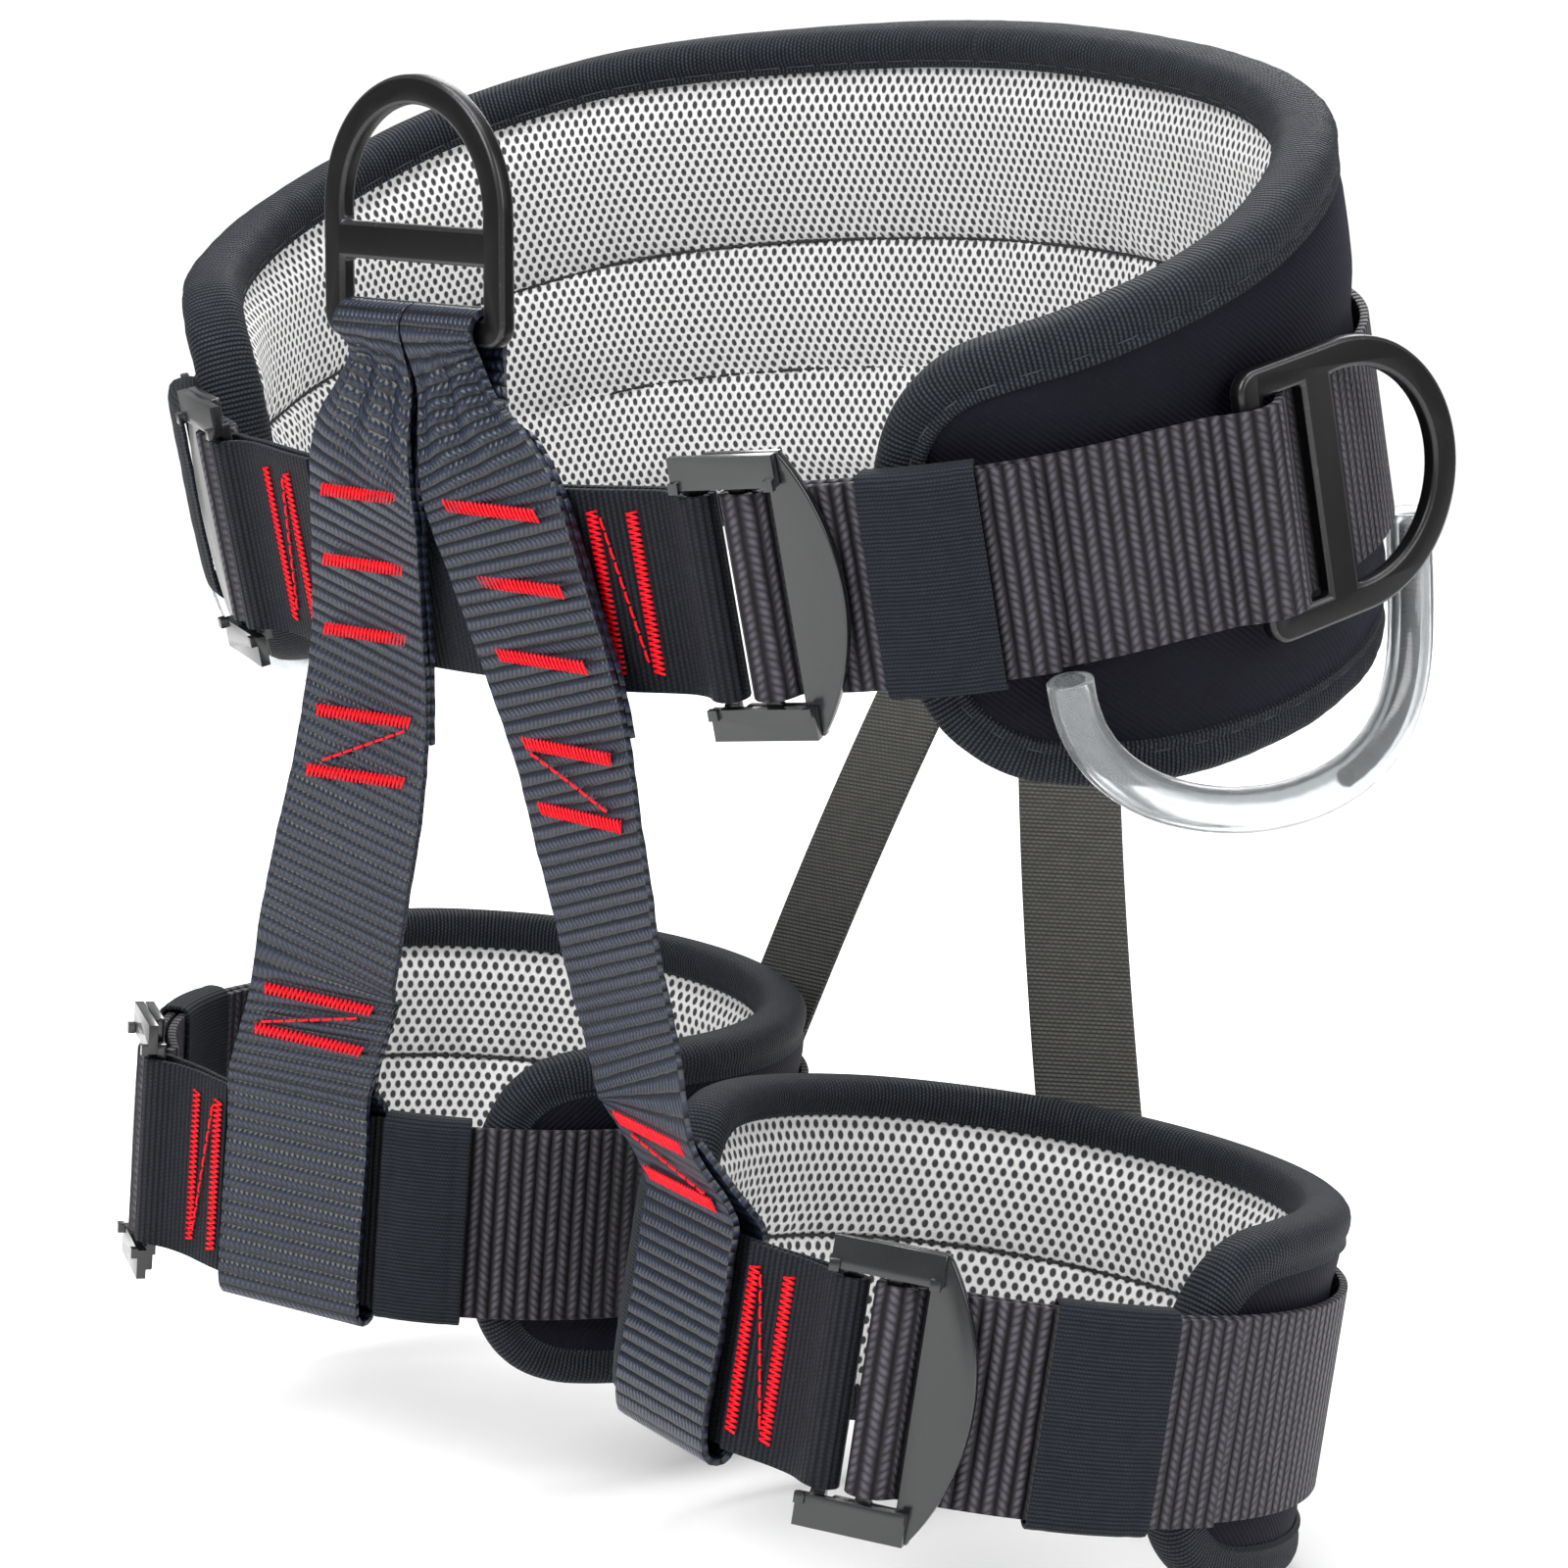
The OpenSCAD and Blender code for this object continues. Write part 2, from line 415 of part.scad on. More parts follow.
module leg_keeper_shape() keeper_ring(leg_radius, [0.05, 0.3, 6.1, 7.2], 52, 71);
// elastic sleeve over the joint of the two webbings, between the pad's end and the strap's foot
module leg_sleeve_shape() keeper_ring(leg_radius, [-1.6, -0.5, 3.3, 4.4], -46, -31.5);
// the tie strap's foot: both layers, sewn above the front webbing and round it
foot_a = -15;
// [across, outward, height] down the front, round the webbing and up behind
foot_path = [[0, 3.9, 26], [0, 3.4, 20], [0, 3.3, 0], [0, 3.3, -23.4], [0, 1.5, -26], [0, -1.8, -26],
  [0, -3.7, -23.4], [0, -3.7, 0], [0, -3.7, 23.6], [0, 1.0, 29]];
function foot_ring(c, n) = [for (q = [[0.75, -1], [0.75, 1], [-0.75, 1], [-0.75, -1]])
  let(p = leg_local(foot_a, c[0] + q[1] * strap_width / 2, c[1] + n[0] * q[0])) [p[0], p[1], c[2] + n[1] * q[0]]];
function foot_normal(f, i) = let(e = f[min(i + 1, len(f) - 1)] - f[max(i - 1, 0)], d = unit([e[1], e[2]]))
  [-d[1], d[0]];
module foot_shape(u, n, top) {
  f = cat([[u, n, top]], cat(foot_path, [[u, n - 1.9, top]]));
  sweep([for (i = [0 : len(f) - 1]) foot_ring(f[i], foot_normal(f, i))]);
}
module foot_threads(u, n, top) {
  function face(z, v) = let(k = (z - 26) / (top - 26), p = leg_local(foot_a, u * k + v, 5.9 + (n - 3.9) * k))
    [p[0], p[1], z];
  nn = [sin(foot_a), -cos(foot_a), 0.25];
  a = top - 13;
  b = top - 2.5;
  thread(face(a, -15), face(a, 15), nn, 2.2, 0.7);
  thread(face(b, -15), face(b, 15), nn, 2.2, 0.7);
  thread(face(a + 2, 13), face(b - 2, -13), nn, 0.9, 0.6);
}

module leg_pad_shell_l() color([0.08, 0.085, 0.10]) leg(1) leg_layer(-2.3, -1.0);
module leg_pad_foam_l() color([0.30, 0.30, 0.31]) leg(1) leg_layer(-leg_pad_thick + 2.4, -2.4);
module leg_mesh_lining_l() color([0.78, 0.78, 0.77]) leg(1) leg_layer(-leg_pad_thick + 1.0, -leg_pad_thick + 2.3);
module leg_binding_l() color([0.05, 0.05, 0.055]) leg(1) leg_binding();
module leg_webbing_l() color([0.13, 0.13, 0.145]) leg(1) leg_webbing();
module leg_front_webbing_l() color([0.035, 0.035, 0.045]) leg(1) leg_front();
module leg_sleeve_l() color([0.12, 0.12, 0.13]) leg(1) leg_sleeve_shape();
module strap_foot_l() color([0.04, 0.045, 0.075]) leg(1) foot_shape(-8, 12.9, 41);
module leg_stitching_l() color([0.85, 0.05, 0.08]) leg(1) { leg_threads(); foot_threads(-8, 12.9, 41); }
module leg_buckle_frame_l() color([0.02, 0.02, 0.022]) leg(1) leg_at(buckle_a, 5.7) frame_plate();
module leg_buckle_tongue_l() color([0.03, 0.03, 0.033]) leg(1) leg_at(buckle_a, 8.4) tongue_plate();
module leg_keeper_l() color([0.12, 0.12, 0.13]) leg(1) leg_keeper_shape();
module leg_pad_shell_r() color([0.08, 0.085, 0.10]) leg(-1) leg_layer(-2.3, -1.0);
module leg_pad_foam_r() color([0.30, 0.30, 0.31]) leg(-1) leg_layer(-leg_pad_thick + 2.4, -2.4);
module leg_mesh_lining_r() color([0.78, 0.78, 0.77]) leg(-1) leg_layer(-leg_pad_thick + 1.0, -leg_pad_thick + 2.3);
module leg_binding_r() color([0.05, 0.05, 0.055]) leg(-1) leg_binding();
module leg_webbing_r() color([0.13, 0.13, 0.145]) leg(-1) leg_webbing();
module leg_front_webbing_r() color([0.035, 0.035, 0.045]) leg(-1) leg_front();
module leg_sleeve_r() color([0.12, 0.12, 0.13]) leg(-1) leg_sleeve_shape();
module strap_foot_r() color([0.04, 0.045, 0.075]) leg(-1) foot_shape(-9, 9.2, 52.5);
module leg_stitching_r() color([0.85, 0.05, 0.08]) leg(-1) { leg_threads(); foot_threads(-9, 9.2, 52.5); }
module leg_buckle_frame_r() color([0.02, 0.02, 0.022]) leg(-1) leg_at(buckle_a, 5.7) frame_plate();
module leg_buckle_tongue_r() color([0.03, 0.03, 0.033]) leg(-1) leg_at(buckle_a, 8.4) tongue_plate();
module leg_keeper_r() color([0.12, 0.12, 0.13]) leg(-1) leg_keeper_shape();

// ---- risers: elastic tapes from the back of the waist to the back of each leg loop ----
module riser(a, b, w0, w1)
  sweep([for (t = [0 : 0.25 : 1])
    let(p = a * (1 - t) + b * t, h = w0 * (1 - t) + w1 * t, w = [cos(h), sin(h), 0] * riser_width / 2,
      n = [-sin(h), cos(h), 0] * 1.3) [p - w, p + w, p + w + n, p - w + n]]);
module riser_l() color([0.28, 0.28, 0.27]) riser([6, 94, -32], [43, 60, -150], 24, 32);
module riser_r() color([0.28, 0.28, 0.27]) riser([-19, 94, -32], [-62, 62, -135], 0, -4);

waist_pad_shell();
waist_pad_foam();
waist_mesh_lining();
waist_binding();
waist_webbing();
front_belt_webbing();
belt_stitching();
waist_buckle_frame_l();
waist_buckle_frame_r();
waist_buckle_tongue_l();
waist_buckle_tongue_r();
waist_keeper_l();
waist_keeper_r();
side_ring_l();
side_ring_r();
gear_loop_tube_l();
gear_loop_tube_r();
gear_loop_cord_l();
gear_loop_cord_r();
front_ring();
tie_strap_l();
tie_strap_r();
strap_stitching_l();
strap_stitching_r();
riser_l();
riser_r();
leg_pad_shell_l();
leg_pad_foam_l();
leg_mesh_lining_l();
leg_binding_l();
leg_webbing_l();
leg_front_webbing_l();
leg_sleeve_l();
strap_foot_l();
leg_stitching_l();
leg_buckle_frame_l();
leg_buckle_tongue_l();
leg_keeper_l();
leg_pad_shell_r();
leg_pad_foam_r();
leg_mesh_lining_r();
leg_binding_r();
leg_webbing_r();
leg_front_webbing_r();
leg_sleeve_r();
strap_foot_r();
leg_stitching_r();
leg_buckle_frame_r();
leg_buckle_tongue_r();
leg_keeper_r();
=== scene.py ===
"""Looks of a tree climbing saddle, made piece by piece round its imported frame, in metres."""

import json
import math

import bpy
import numpy as np
from mathutils import Matrix, Vector

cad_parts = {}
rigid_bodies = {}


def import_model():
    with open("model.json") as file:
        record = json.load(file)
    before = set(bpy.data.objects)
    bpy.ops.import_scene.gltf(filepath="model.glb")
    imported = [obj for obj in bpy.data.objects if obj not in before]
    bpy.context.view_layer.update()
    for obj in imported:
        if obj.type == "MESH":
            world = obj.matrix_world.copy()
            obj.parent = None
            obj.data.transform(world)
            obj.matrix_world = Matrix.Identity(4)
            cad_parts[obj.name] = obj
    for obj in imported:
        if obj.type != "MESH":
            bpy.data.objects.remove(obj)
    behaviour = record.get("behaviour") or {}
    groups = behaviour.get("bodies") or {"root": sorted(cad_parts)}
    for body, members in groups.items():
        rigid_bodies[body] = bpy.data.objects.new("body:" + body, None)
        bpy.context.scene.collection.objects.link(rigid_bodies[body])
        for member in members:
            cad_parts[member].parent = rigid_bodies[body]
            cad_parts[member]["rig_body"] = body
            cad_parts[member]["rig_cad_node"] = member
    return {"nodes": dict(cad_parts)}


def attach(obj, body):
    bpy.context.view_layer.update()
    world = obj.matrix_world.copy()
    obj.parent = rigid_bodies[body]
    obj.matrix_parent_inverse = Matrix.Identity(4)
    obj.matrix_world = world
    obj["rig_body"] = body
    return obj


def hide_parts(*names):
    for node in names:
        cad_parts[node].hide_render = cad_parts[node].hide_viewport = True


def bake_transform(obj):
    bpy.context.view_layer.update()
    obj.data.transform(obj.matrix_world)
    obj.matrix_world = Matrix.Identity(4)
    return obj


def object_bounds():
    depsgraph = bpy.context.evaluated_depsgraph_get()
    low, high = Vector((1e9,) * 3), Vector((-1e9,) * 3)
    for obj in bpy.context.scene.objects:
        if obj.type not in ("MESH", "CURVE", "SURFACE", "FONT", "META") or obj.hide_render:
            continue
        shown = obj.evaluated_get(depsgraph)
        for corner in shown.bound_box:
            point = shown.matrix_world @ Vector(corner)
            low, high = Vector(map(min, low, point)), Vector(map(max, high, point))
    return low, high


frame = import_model()
cad_low, cad_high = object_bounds()


# ---- Foam core of the waist belt ----
# A sheet of closed-cell foam, bent round the hips and across the back. It is sewn in between
# the mesh lining and the outer shell, and only its thickness shows.
MM = 0.001
HIP_RADIUS = 80
SIDE_OFFSET = 75
WIDE_CENTRE = 147.25
WIDE_RADIUS = 245.25
JOIN = math.atan(SIDE_OFFSET / WIDE_CENTRE)
FRONT_RUN = WIDE_RADIUS * JOIN
HIP_RUN = HIP_RADIUS * (math.pi - 2 * JOIN)
HALF_RUN = 2 * FRONT_RUN + HIP_RUN
WAIST = Matrix.Rotation(math.radians(13), 4, "X")
PAD_END = 113.5
CORE_OUT = -6.0
CORE_THICK = 5.6
CORE_INSET = 1.5
PAD_TOP_EDGE = [
    (113.5, 18), (116, 27), (120, 34), (126, 39.5), (133, 43.2), (142, 45.2), (165, 48),
    (204, 54), (243, 61.5), (270, 65.5), (300, 69), (352, 71), (HALF_RUN, 72),
]
PAD_LOW_EDGE = [
    (113.5, -18), (116, -26), (120, -34), (126, -40.5), (133, -45.5), (142, -49), (165, -53.5),
    (204, -55), (256, -53), (300, -50), (352, -48.4), (HALF_RUN, -48),
]


def heading(run):
    """The way the belt faces at a run in millimetres from the front middle, as an angle from -Y to +X."""
    if run < 0:
        return -heading(-run)
    if run <= FRONT_RUN:
        return run / WIDE_RADIUS
    if run <= FRONT_RUN + HIP_RUN:
        return JOIN + (run - FRONT_RUN) / HIP_RADIUS
    return math.pi - JOIN + (run - FRONT_RUN - HIP_RUN) / WIDE_RADIUS


def belt_spot(run, out):
    """Plan point of the belt, out millimetres outside the pad's face."""
    if run > HALF_RUN:
        run -= 2 * HALF_RUN
    turn = heading(run)
    x, y, radius = 0, WIDE_CENTRE, WIDE_RADIUS
    if abs(run) > FRONT_RUN + HIP_RUN:
        y = -WIDE_CENTRE
    elif abs(run) > FRONT_RUN:
        x, y, radius = math.copysign(SIDE_OFFSET, run), 0, HIP_RADIUS
    return x + (radius + out) * math.sin(turn), y - (radius + out) * math.cos(turn)


def pad_spot(run, out, height):
    """Place on the leaned waist pad, which draws in below the webbing over the hips."""
    folded = run if run <= HALF_RUN else run - 2 * HALF_RUN
    hip = max(0, abs(math.sin(heading(folded))) - 0.35) / 0.65
    pinch = min(0, height + 24) * 0.27 * hip
    x, y = belt_spot(run, out + pinch)
    return WAIST @ Vector((x, y, height)) * MM


def run_lengths(places):
    """How far along a line each of its places is."""
    return np.concatenate([[0], np.cumsum(np.linalg.norm(np.diff(places, axis=0), axis=1))])


def smooth_run(points, count, closed=False, lead=None):
    """Count places spread evenly along a smooth line through the points. The first lead numbers of a
    point are its place, and the rest follow it."""
    raw = np.array([list(p) for p in points], float)
    lead = lead or raw.shape[1]
    size = len(raw)
    fine = []
    for i in range(size if closed else size - 1):
        if closed:
            before, a, b, after = (raw[(i + k) % size] for k in (-1, 0, 1, 2))
        else:
            a, b = raw[i], raw[i + 1]
            before = raw[i - 1] if i else 2 * a - b
            after = raw[i + 2] if i + 2 < size else 2 * b - a
        gap = [max(np.linalg.norm(q[:lead] - p[:lead]), 1e-6) ** 0.5
               for p, q in ((before, a), (a, b), (b, after))]
        slope_a = ((a - before) / gap[0] - (b - before) / (gap[0] + gap[1]) + (b - a) / gap[1]) * gap[1]
        slope_b = ((b - a) / gap[1] - (after - a) / (gap[1] + gap[2]) + (after - b) / gap[2]) * gap[1]
        for t in np.arange(0, 1, 0.1):
            fine.append((2 * t**3 - 3 * t**2 + 1) * a + (t**3 - 2 * t**2 + t) * slope_a
                        + (3 * t**2 - 2 * t**3) * b + (t**3 - t**2) * slope_b)
    fine.append(raw[0] if closed else raw[-1])
    fine = np.array(fine)
    done = run_lengths(fine[:, :lead])
    wanted = np.linspace(0, done[-1], count)
    return np.stack([np.interp(wanted, done, fine[:, k]) for k in range(raw.shape[1])], axis=1)


def laid_cloth(name, along, across, lay):
    """A flat grid whose points go where lay(u, v) puts them. Lay also gives how far along and across the
    cloth each point is, in metres, and that is kept as the cloth's own UV map."""
    bpy.ops.mesh.primitive_grid_add(x_subdivisions=along, y_subdivisions=across, size=1)
    cloth = bpy.context.object
    cloth.name = cloth.data.name = name
    threads = []
    for vert in cloth.data.vertices:
        place, thread = lay(vert.co.x + 0.5, vert.co.y + 0.5)
        vert.co = place
        threads.append(thread)
    weave = cloth.data.uv_layers[0]
    weave.name = "weave"
    for loop in cloth.data.loops:
        weave.data[loop.index].uv = threads[loop.vertex_index]
    return cloth


def pick_out(piece):
    """Makes a piece the only selected one, and the active one."""
    bpy.ops.object.select_all(action="DESELECT")
    piece.select_set(True)
    bpy.context.view_layer.objects.active = piece


def shape_with(piece, kind, **settings):
    """Gives the active piece one modifier and applies it."""
    change = piece.modifiers.new(kind.lower(), kind)
    for key, value in settings.items():
        setattr(change, key, value)
    bpy.ops.object.modifier_apply(modifier=change.name)


def finish_shape(piece, thick=0, offset=0, edge=0, merge=False):
    """Merges a closed cloth's meeting edges, gives it its thickness, rounds its edges and smooths it."""
    pick_out(piece)
    if merge:
        bpy.ops.object.mode_set(mode="EDIT")
        bpy.ops.mesh.select_all(action="SELECT")
        bpy.ops.mesh.remove_doubles(threshold=0.00002)
        bpy.ops.mesh.normals_make_consistent(inside=False)
        bpy.ops.object.mode_set(mode="OBJECT")
    if thick:
        shape_with(piece, "SOLIDIFY", thickness=thick * MM, offset=offset)
    if edge:
        shape_with(piece, "BEVEL", width=edge * MM, segments=2, limit_method="ANGLE",
                   angle_limit=math.radians(50))
    bpy.ops.object.shade_smooth_by_angle(angle=math.radians(40))
    return piece


def edge_height(edge, run):
    """Height of a pad edge over a run from the front middle, the same on both sides of the back."""
    folded = run if run <= HALF_RUN else 2 * HALF_RUN - run
    return float(np.interp(folded, edge[:, 0], edge[:, 1]))


pad_top_edge = smooth_run(PAD_TOP_EDGE, 240)
pad_low_edge = smooth_run(PAD_LOW_EDGE, 240)


def pad_column(u):
    """Run of a column of the waist pad, closer together near its two rounded ends."""
    eased = u - 0.75 * math.sin(2 * math.pi * u) / (2 * math.pi)
    return PAD_END + eased * 2 * (HALF_RUN - PAD_END)


def pad_reach(run, inset):
    """Heights of the waist pad's low and top edges at a run, each drawn in by inset."""
    return edge_height(pad_low_edge, run) + inset, edge_height(pad_top_edge, run) - inset


def waist_core_lay(u, v):
    run = pad_column(u)
    low, high = pad_reach(run, CORE_INSET)
    height = low + v * (high - low)
    return pad_spot(run, CORE_OUT, height), (run * MM, height * MM)


waist_core = finish_shape(laid_cloth("waist_foam_core", 200, 20, waist_core_lay), thick=CORE_THICK, edge=1.2)


class Value:
    """A node's output that can be written in sums. Each step of a sum adds one Math node to its tree."""

    def __init__(self, tree, output):
        self.tree = tree
        self.output = output

    def math(self, operation, *other):
        return add_node(self.tree, "ShaderNodeMath", dict(enumerate((self, *other))), 0, operation=operation)

    def __add__(self, other):
        return self.math("ADD", other)

    def __sub__(self, other):
        return self.math("SUBTRACT", other)

    def __mul__(self, other):
        return self.math("MULTIPLY", other)

    def __truediv__(self, other):
        return self.math("DIVIDE", other)

    def __pow__(self, other):
        return self.math("POWER", other)

    def mix(self, dark, light):
        """A colour this share of the way from dark to light."""
        return add_node(self.tree, "ShaderNodeMix", {0: self, 6: dark, 7: light}, 2, data_type="RGBA")

    def noise(self, scale, detail):
        """Noise from 0 to 1 over this vector."""
        inputs = {"Vector": self, "Scale": scale, "Detail": detail}
        return add_node(self.tree, "ShaderNodeTexNoise", inputs, "Fac")

    def stretched(self, start, end, kind):
        """0 before start, 1 after end, and in between by the kind of interpolation."""
        inputs = {"Value": self, "From Min": start, "From Max": end}
        return add_node(self.tree, "ShaderNodeMapRange", inputs, "Result", interpolation_type=kind)


def put(value, socket):
    """Links a value to a socket, or sets the socket to a number or a colour."""
    if isinstance(value, Value):
        value.tree.links.new(value.output, socket)
    elif isinstance(value, tuple):
        socket.default_value = (*value, 1)
    else:
        socket.default_value = value


def set_inputs(node, inputs):
    for key, value in inputs.items():
        put(value, node.inputs[key])


def add_node(tree, kind, inputs, *results, **settings):
    """Adds a node with its settings and inputs, and gives the outputs asked for as values."""
    node = tree.nodes.new(kind)
    for key, value in settings.items():
        setattr(node, key, value)
    set_inputs(node, inputs)
    values = [Value(tree, node.outputs[key]) for key in results]
    return values[0] if len(values) == 1 else values


def start_group(name, vector, numbers, results):
    """An empty node group: (group, its inputs as values, its output sockets)."""
    group = bpy.data.node_groups.new(name, "ShaderNodeTree")
    group.interface.new_socket(vector, in_out="INPUT", socket_type="NodeSocketVector")
    for number in numbers:
        group.interface.new_socket(number, in_out="INPUT", socket_type="NodeSocketFloat")
    for result in results:
        group.interface.new_socket(result, in_out="OUTPUT", socket_type="NodeSocketFloat")
    start = group.nodes.new("NodeGroupInput")
    end = group.nodes.new("NodeGroupOutput")
    return group, [Value(group, start.outputs[key]) for key in (vector, *numbers)], end.inputs


def make_age_group():
    """Slow mottling and fine lint over a surface, from a vector in metres."""
    group, (spot, scale), ends = start_group("age", "Vector", ("Scale",), ("Mottle", "Lint"))
    put(spot.noise(scale, 4), ends["Mottle"])
    put(spot.noise(scale * 22, 2).stretched(0.62, 0.78, "LINEAR"), ends["Lint"])
    return group


age_group = make_age_group()


def start_finish(name, roughness, scale, gloss=0.2):
    """A new material with the age group in it: (material, its surface, mottle, lint)."""
    finish = bpy.data.materials.new(name)
    finish.use_nodes = True
    surface = finish.node_tree.nodes["Principled BSDF"]
    set_inputs(surface, {"Roughness": roughness, "Specular IOR Level": gloss})
    spot = add_node(finish.node_tree, "ShaderNodeTexCoord", {}, "Object")
    mottle, lint = add_node(finish.node_tree, "ShaderNodeGroup", {"Vector": spot, "Scale": scale},
                            "Mottle", "Lint", node_tree=age_group)
    return finish, surface, mottle, lint


def raised(height, depth):
    """The normal of a surface where a height from 0 to 1 stands depth millimetres proud."""
    inputs = {"Height": height, "Strength": 1.0, "Distance": depth * MM}
    return add_node(height.tree, "ShaderNodeBump", inputs, "Normal")


def foam_finish():
    finish, surface, mottle, lint = start_finish("grey closed-cell foam", 0.85, 90)
    set_inputs(surface, {"Base Color": mottle.mix((0.10, 0.10, 0.11), (0.17, 0.17, 0.18)),
                         "Normal": raised(lint, 0.3)})
    return finish


foam = foam_finish()
waist_core.data.materials.append(foam)
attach(waist_core, "waist")
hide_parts("waist_pad_foam")


# ---- Mesh lining of the waist belt ----
# An open spacer mesh, light grey, on the side that lies against the wearer. Two rows of black
# quilting run the whole length of the belt and pull the mesh down into the foam.
LINING_OUT = -10.3
LINING_THICK = 0.9
LINING_CROWN = 3.6
LINING_INSET = 2
QUILT_ROWS = (0.31, 0.59)
QUILT_OUT = -11.0
QUILT_STITCH = 3.1
QUILT_GAP = 0.5
QUILT_ARCH = 0.45
QUILT_THREAD = 0.42


def hash_wave(x, seed):
    """A slow uneven wave between about -1 and 1."""
    waves = ((1, 0.31, 1), (0.6, 0.83, 2.1), (0.4, 1.47, 3.7))
    return sum(size * math.sin(x * rate + shift * seed) for size, rate, shift in waves) / 2


def ease_in(value, start, end):
    """0 before start, 1 after end, and smooth in between."""
    t = min(1, max(0, (value - start) / (end - start)))
    return t * t * (3 - 2 * t)


def quilted(v, run, rows, crown, width):
    """How far a quilted mesh stands off its base: full in the channels, pulled in and puckered at rows."""
    stops = (0.0, *rows, 1.0)
    lower = max(s for s in stops if s <= v + 1e-9) if v < 1 else stops[-2]
    upper = min(s for s in stops if s > lower)
    share = (v - lower) / (upper - lower)
    full = max(0, math.sin(math.pi * share)) ** 0.55 * crown * min(1, (upper - lower) / 0.33)
    gap = min(abs(v - row) for row in rows) * width
    pucker = math.exp(-gap / 7) * (1 - math.exp(-gap / 1.6)) * 1.3
    return full + pucker * hash_wave(run * 0.9, 1.3 + 2 * (v > rows[0]))


def waist_lining_lay(u, v):
    run = pad_column(u)
    low, high = pad_reach(run, LINING_INSET)
    height = low + v * (high - low)
    end = min(1, (min(run, 2 * HALF_RUN - run) - PAD_END + 1.5) / 14)
    under_tape = ease_in(min(height - low, high - height), 5, 15)
    proud = quilted(v, run, QUILT_ROWS, LINING_CROWN, high - low) * end * under_tape
    proud += 0.35 * hash_wave(run * 0.16 + height * 0.05, 5) * under_tape
    return pad_spot(run, LINING_OUT - proud, height), (run * MM, height * MM)


waist_lining = finish_shape(laid_cloth("waist_mesh_lining_cloth", 430, 56, waist_lining_lay),
                            thick=LINING_THICK)


def weave_map(finish):
    """The cloth's own UV map, in metres along and across it."""
    return add_node(finish.node_tree, "ShaderNodeUVMap", {}, "UV", uv_map="weave")


def spacer_mesh_finish(name, pitch_along, pitch_up, hole_wide, hole_high):
    """Knitted mesh with rows of oval holes, each row half a pitch on from the last. The holes are not cut:
    each is painted a dark colour, painted shade for the depth seen down through it.
    """
    finish, surface, mottle, _ = start_finish(name, 0.8, 35, 0.3)
    along, up = add_node(finish.node_tree, "ShaderNodeSeparateXYZ", {"Vector": weave_map(finish)}, "X", "Y")
    row = up / (pitch_up * MM)
    row_start = row.math("FLOOR")
    odd = (row_start + 1000).math("MODULO", 2)
    column = along / (pitch_along * MM) + odd * 0.5
    x = column - column.math("FLOOR") - 0.5
    y = row - row_start - 0.5
    far = (x.math("ABSOLUTE") / hole_wide) ** 2 + (y.math("ABSOLUTE") / hole_high) ** 2
    strand = far.stretched(0.55, 1.35, "SMOOTHSTEP")
    yarn = mottle.mix((0.60, 0.60, 0.595), (0.78, 0.78, 0.77))
    # the dark ovals are painted shade in the holes; the light grey between them is the yarn's own colour
    set_inputs(surface, {"Base Color": strand.mix((0.035, 0.035, 0.04), yarn), "Sheen Weight": 0.15,
                         "Normal": raised(strand, 0.6)})
    return finish


waist_mesh = spacer_mesh_finish("light grey spacer mesh", 2.8, 2.0, 0.24, 0.44)
waist_lining.data.materials.append(waist_mesh)
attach(waist_lining, "waist")
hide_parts("waist_mesh_lining")


def thread_line(name, splines, radius):
    """Thread or cord laid along lines of places in metres, made a mesh."""
    line = bpy.data.curves.new(name, "CURVE")
    line.dimensions = "3D"
    line.bevel_depth = radius * MM
    line.bevel_resolution = 1
    line.use_fill_caps = True
    for places in splines:
        spline = line.splines.new("POLY")
        spline.points.add(len(places) - 1)
        for point, place in zip(spline.points, places):
            point.co = (*place, 1)
    piece = bpy.data.objects.new(name, line)
    bpy.context.scene.collection.objects.link(piece)
    pick_out(piece)
    bpy.ops.object.convert(target="MESH")
    return bpy.context.object


def quilt_stitches(spot, start, end):
    """Short stitches along a seam, each a little arched, from spot(run, lift)."""
    stitches = []
    pitch = QUILT_STITCH + QUILT_GAP
    for k in range(int((end - start) / pitch)):
        first = start + k * pitch
        stitches.append([spot(first + t * QUILT_STITCH, QUILT_ARCH * math.sin(math.pi * t))
                         for t in (0, 0.2, 0.5, 0.8, 1)])
    return stitches


def waist_quilt_spot(row):
    def spot(run, lift):
        low, high = pad_reach(run, LINING_INSET)
        return pad_spot(run, QUILT_OUT - lift, low + row * (high - low))
    return spot


waist_quilting = thread_line(
    "waist_quilting",
    [s for row in QUILT_ROWS
     for s in quilt_stitches(waist_quilt_spot(row), PAD_END + 6, 2 * HALF_RUN - PAD_END - 6)],
    QUILT_THREAD)


def thread_finish(name, colour, light):
    finish, surface, mottle, lint = start_finish(name, 0.45, 260)
    set_inputs(surface, {"Base Color": mottle.mix(colour, light), "Normal": raised(lint, 0.1)})
    return finish


black_thread = thread_finish("black quilting thread", (0.012, 0.012, 0.014), (0.035, 0.035, 0.04))
waist_quilting.data.materials.append(black_thread)
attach(waist_quilting, "waist")


# ---- Outer shell of the waist belt ----
# A smooth bluish-black knit bonded to neoprene, stretched over the outside of the foam and
# held down under the webbing. A line of stitches follows its edge inside the binding.
SHELL_OUT = -2.6
SHELL_THICK = 1.2
SHELL_INSET = 1


def waist_shell_lay(u, v):
    run = pad_column(u)
    low, high = pad_reach(run, SHELL_INSET)
    height = low + v * (high - low)
    to_edge = min(height - low, high - height)
    soft = min(1, max(0, to_edge) / 12) ** 0.6
    clear = min(1, max(0, abs(height) - 24) / 9)
    out = SHELL_OUT + 1.5 * soft + 1.7 * clear * soft + 0.25 * hash_wave(run * 0.1 + height * 0.2, 2) * clear
    return pad_spot(run, out, height), (run * MM, height * MM)


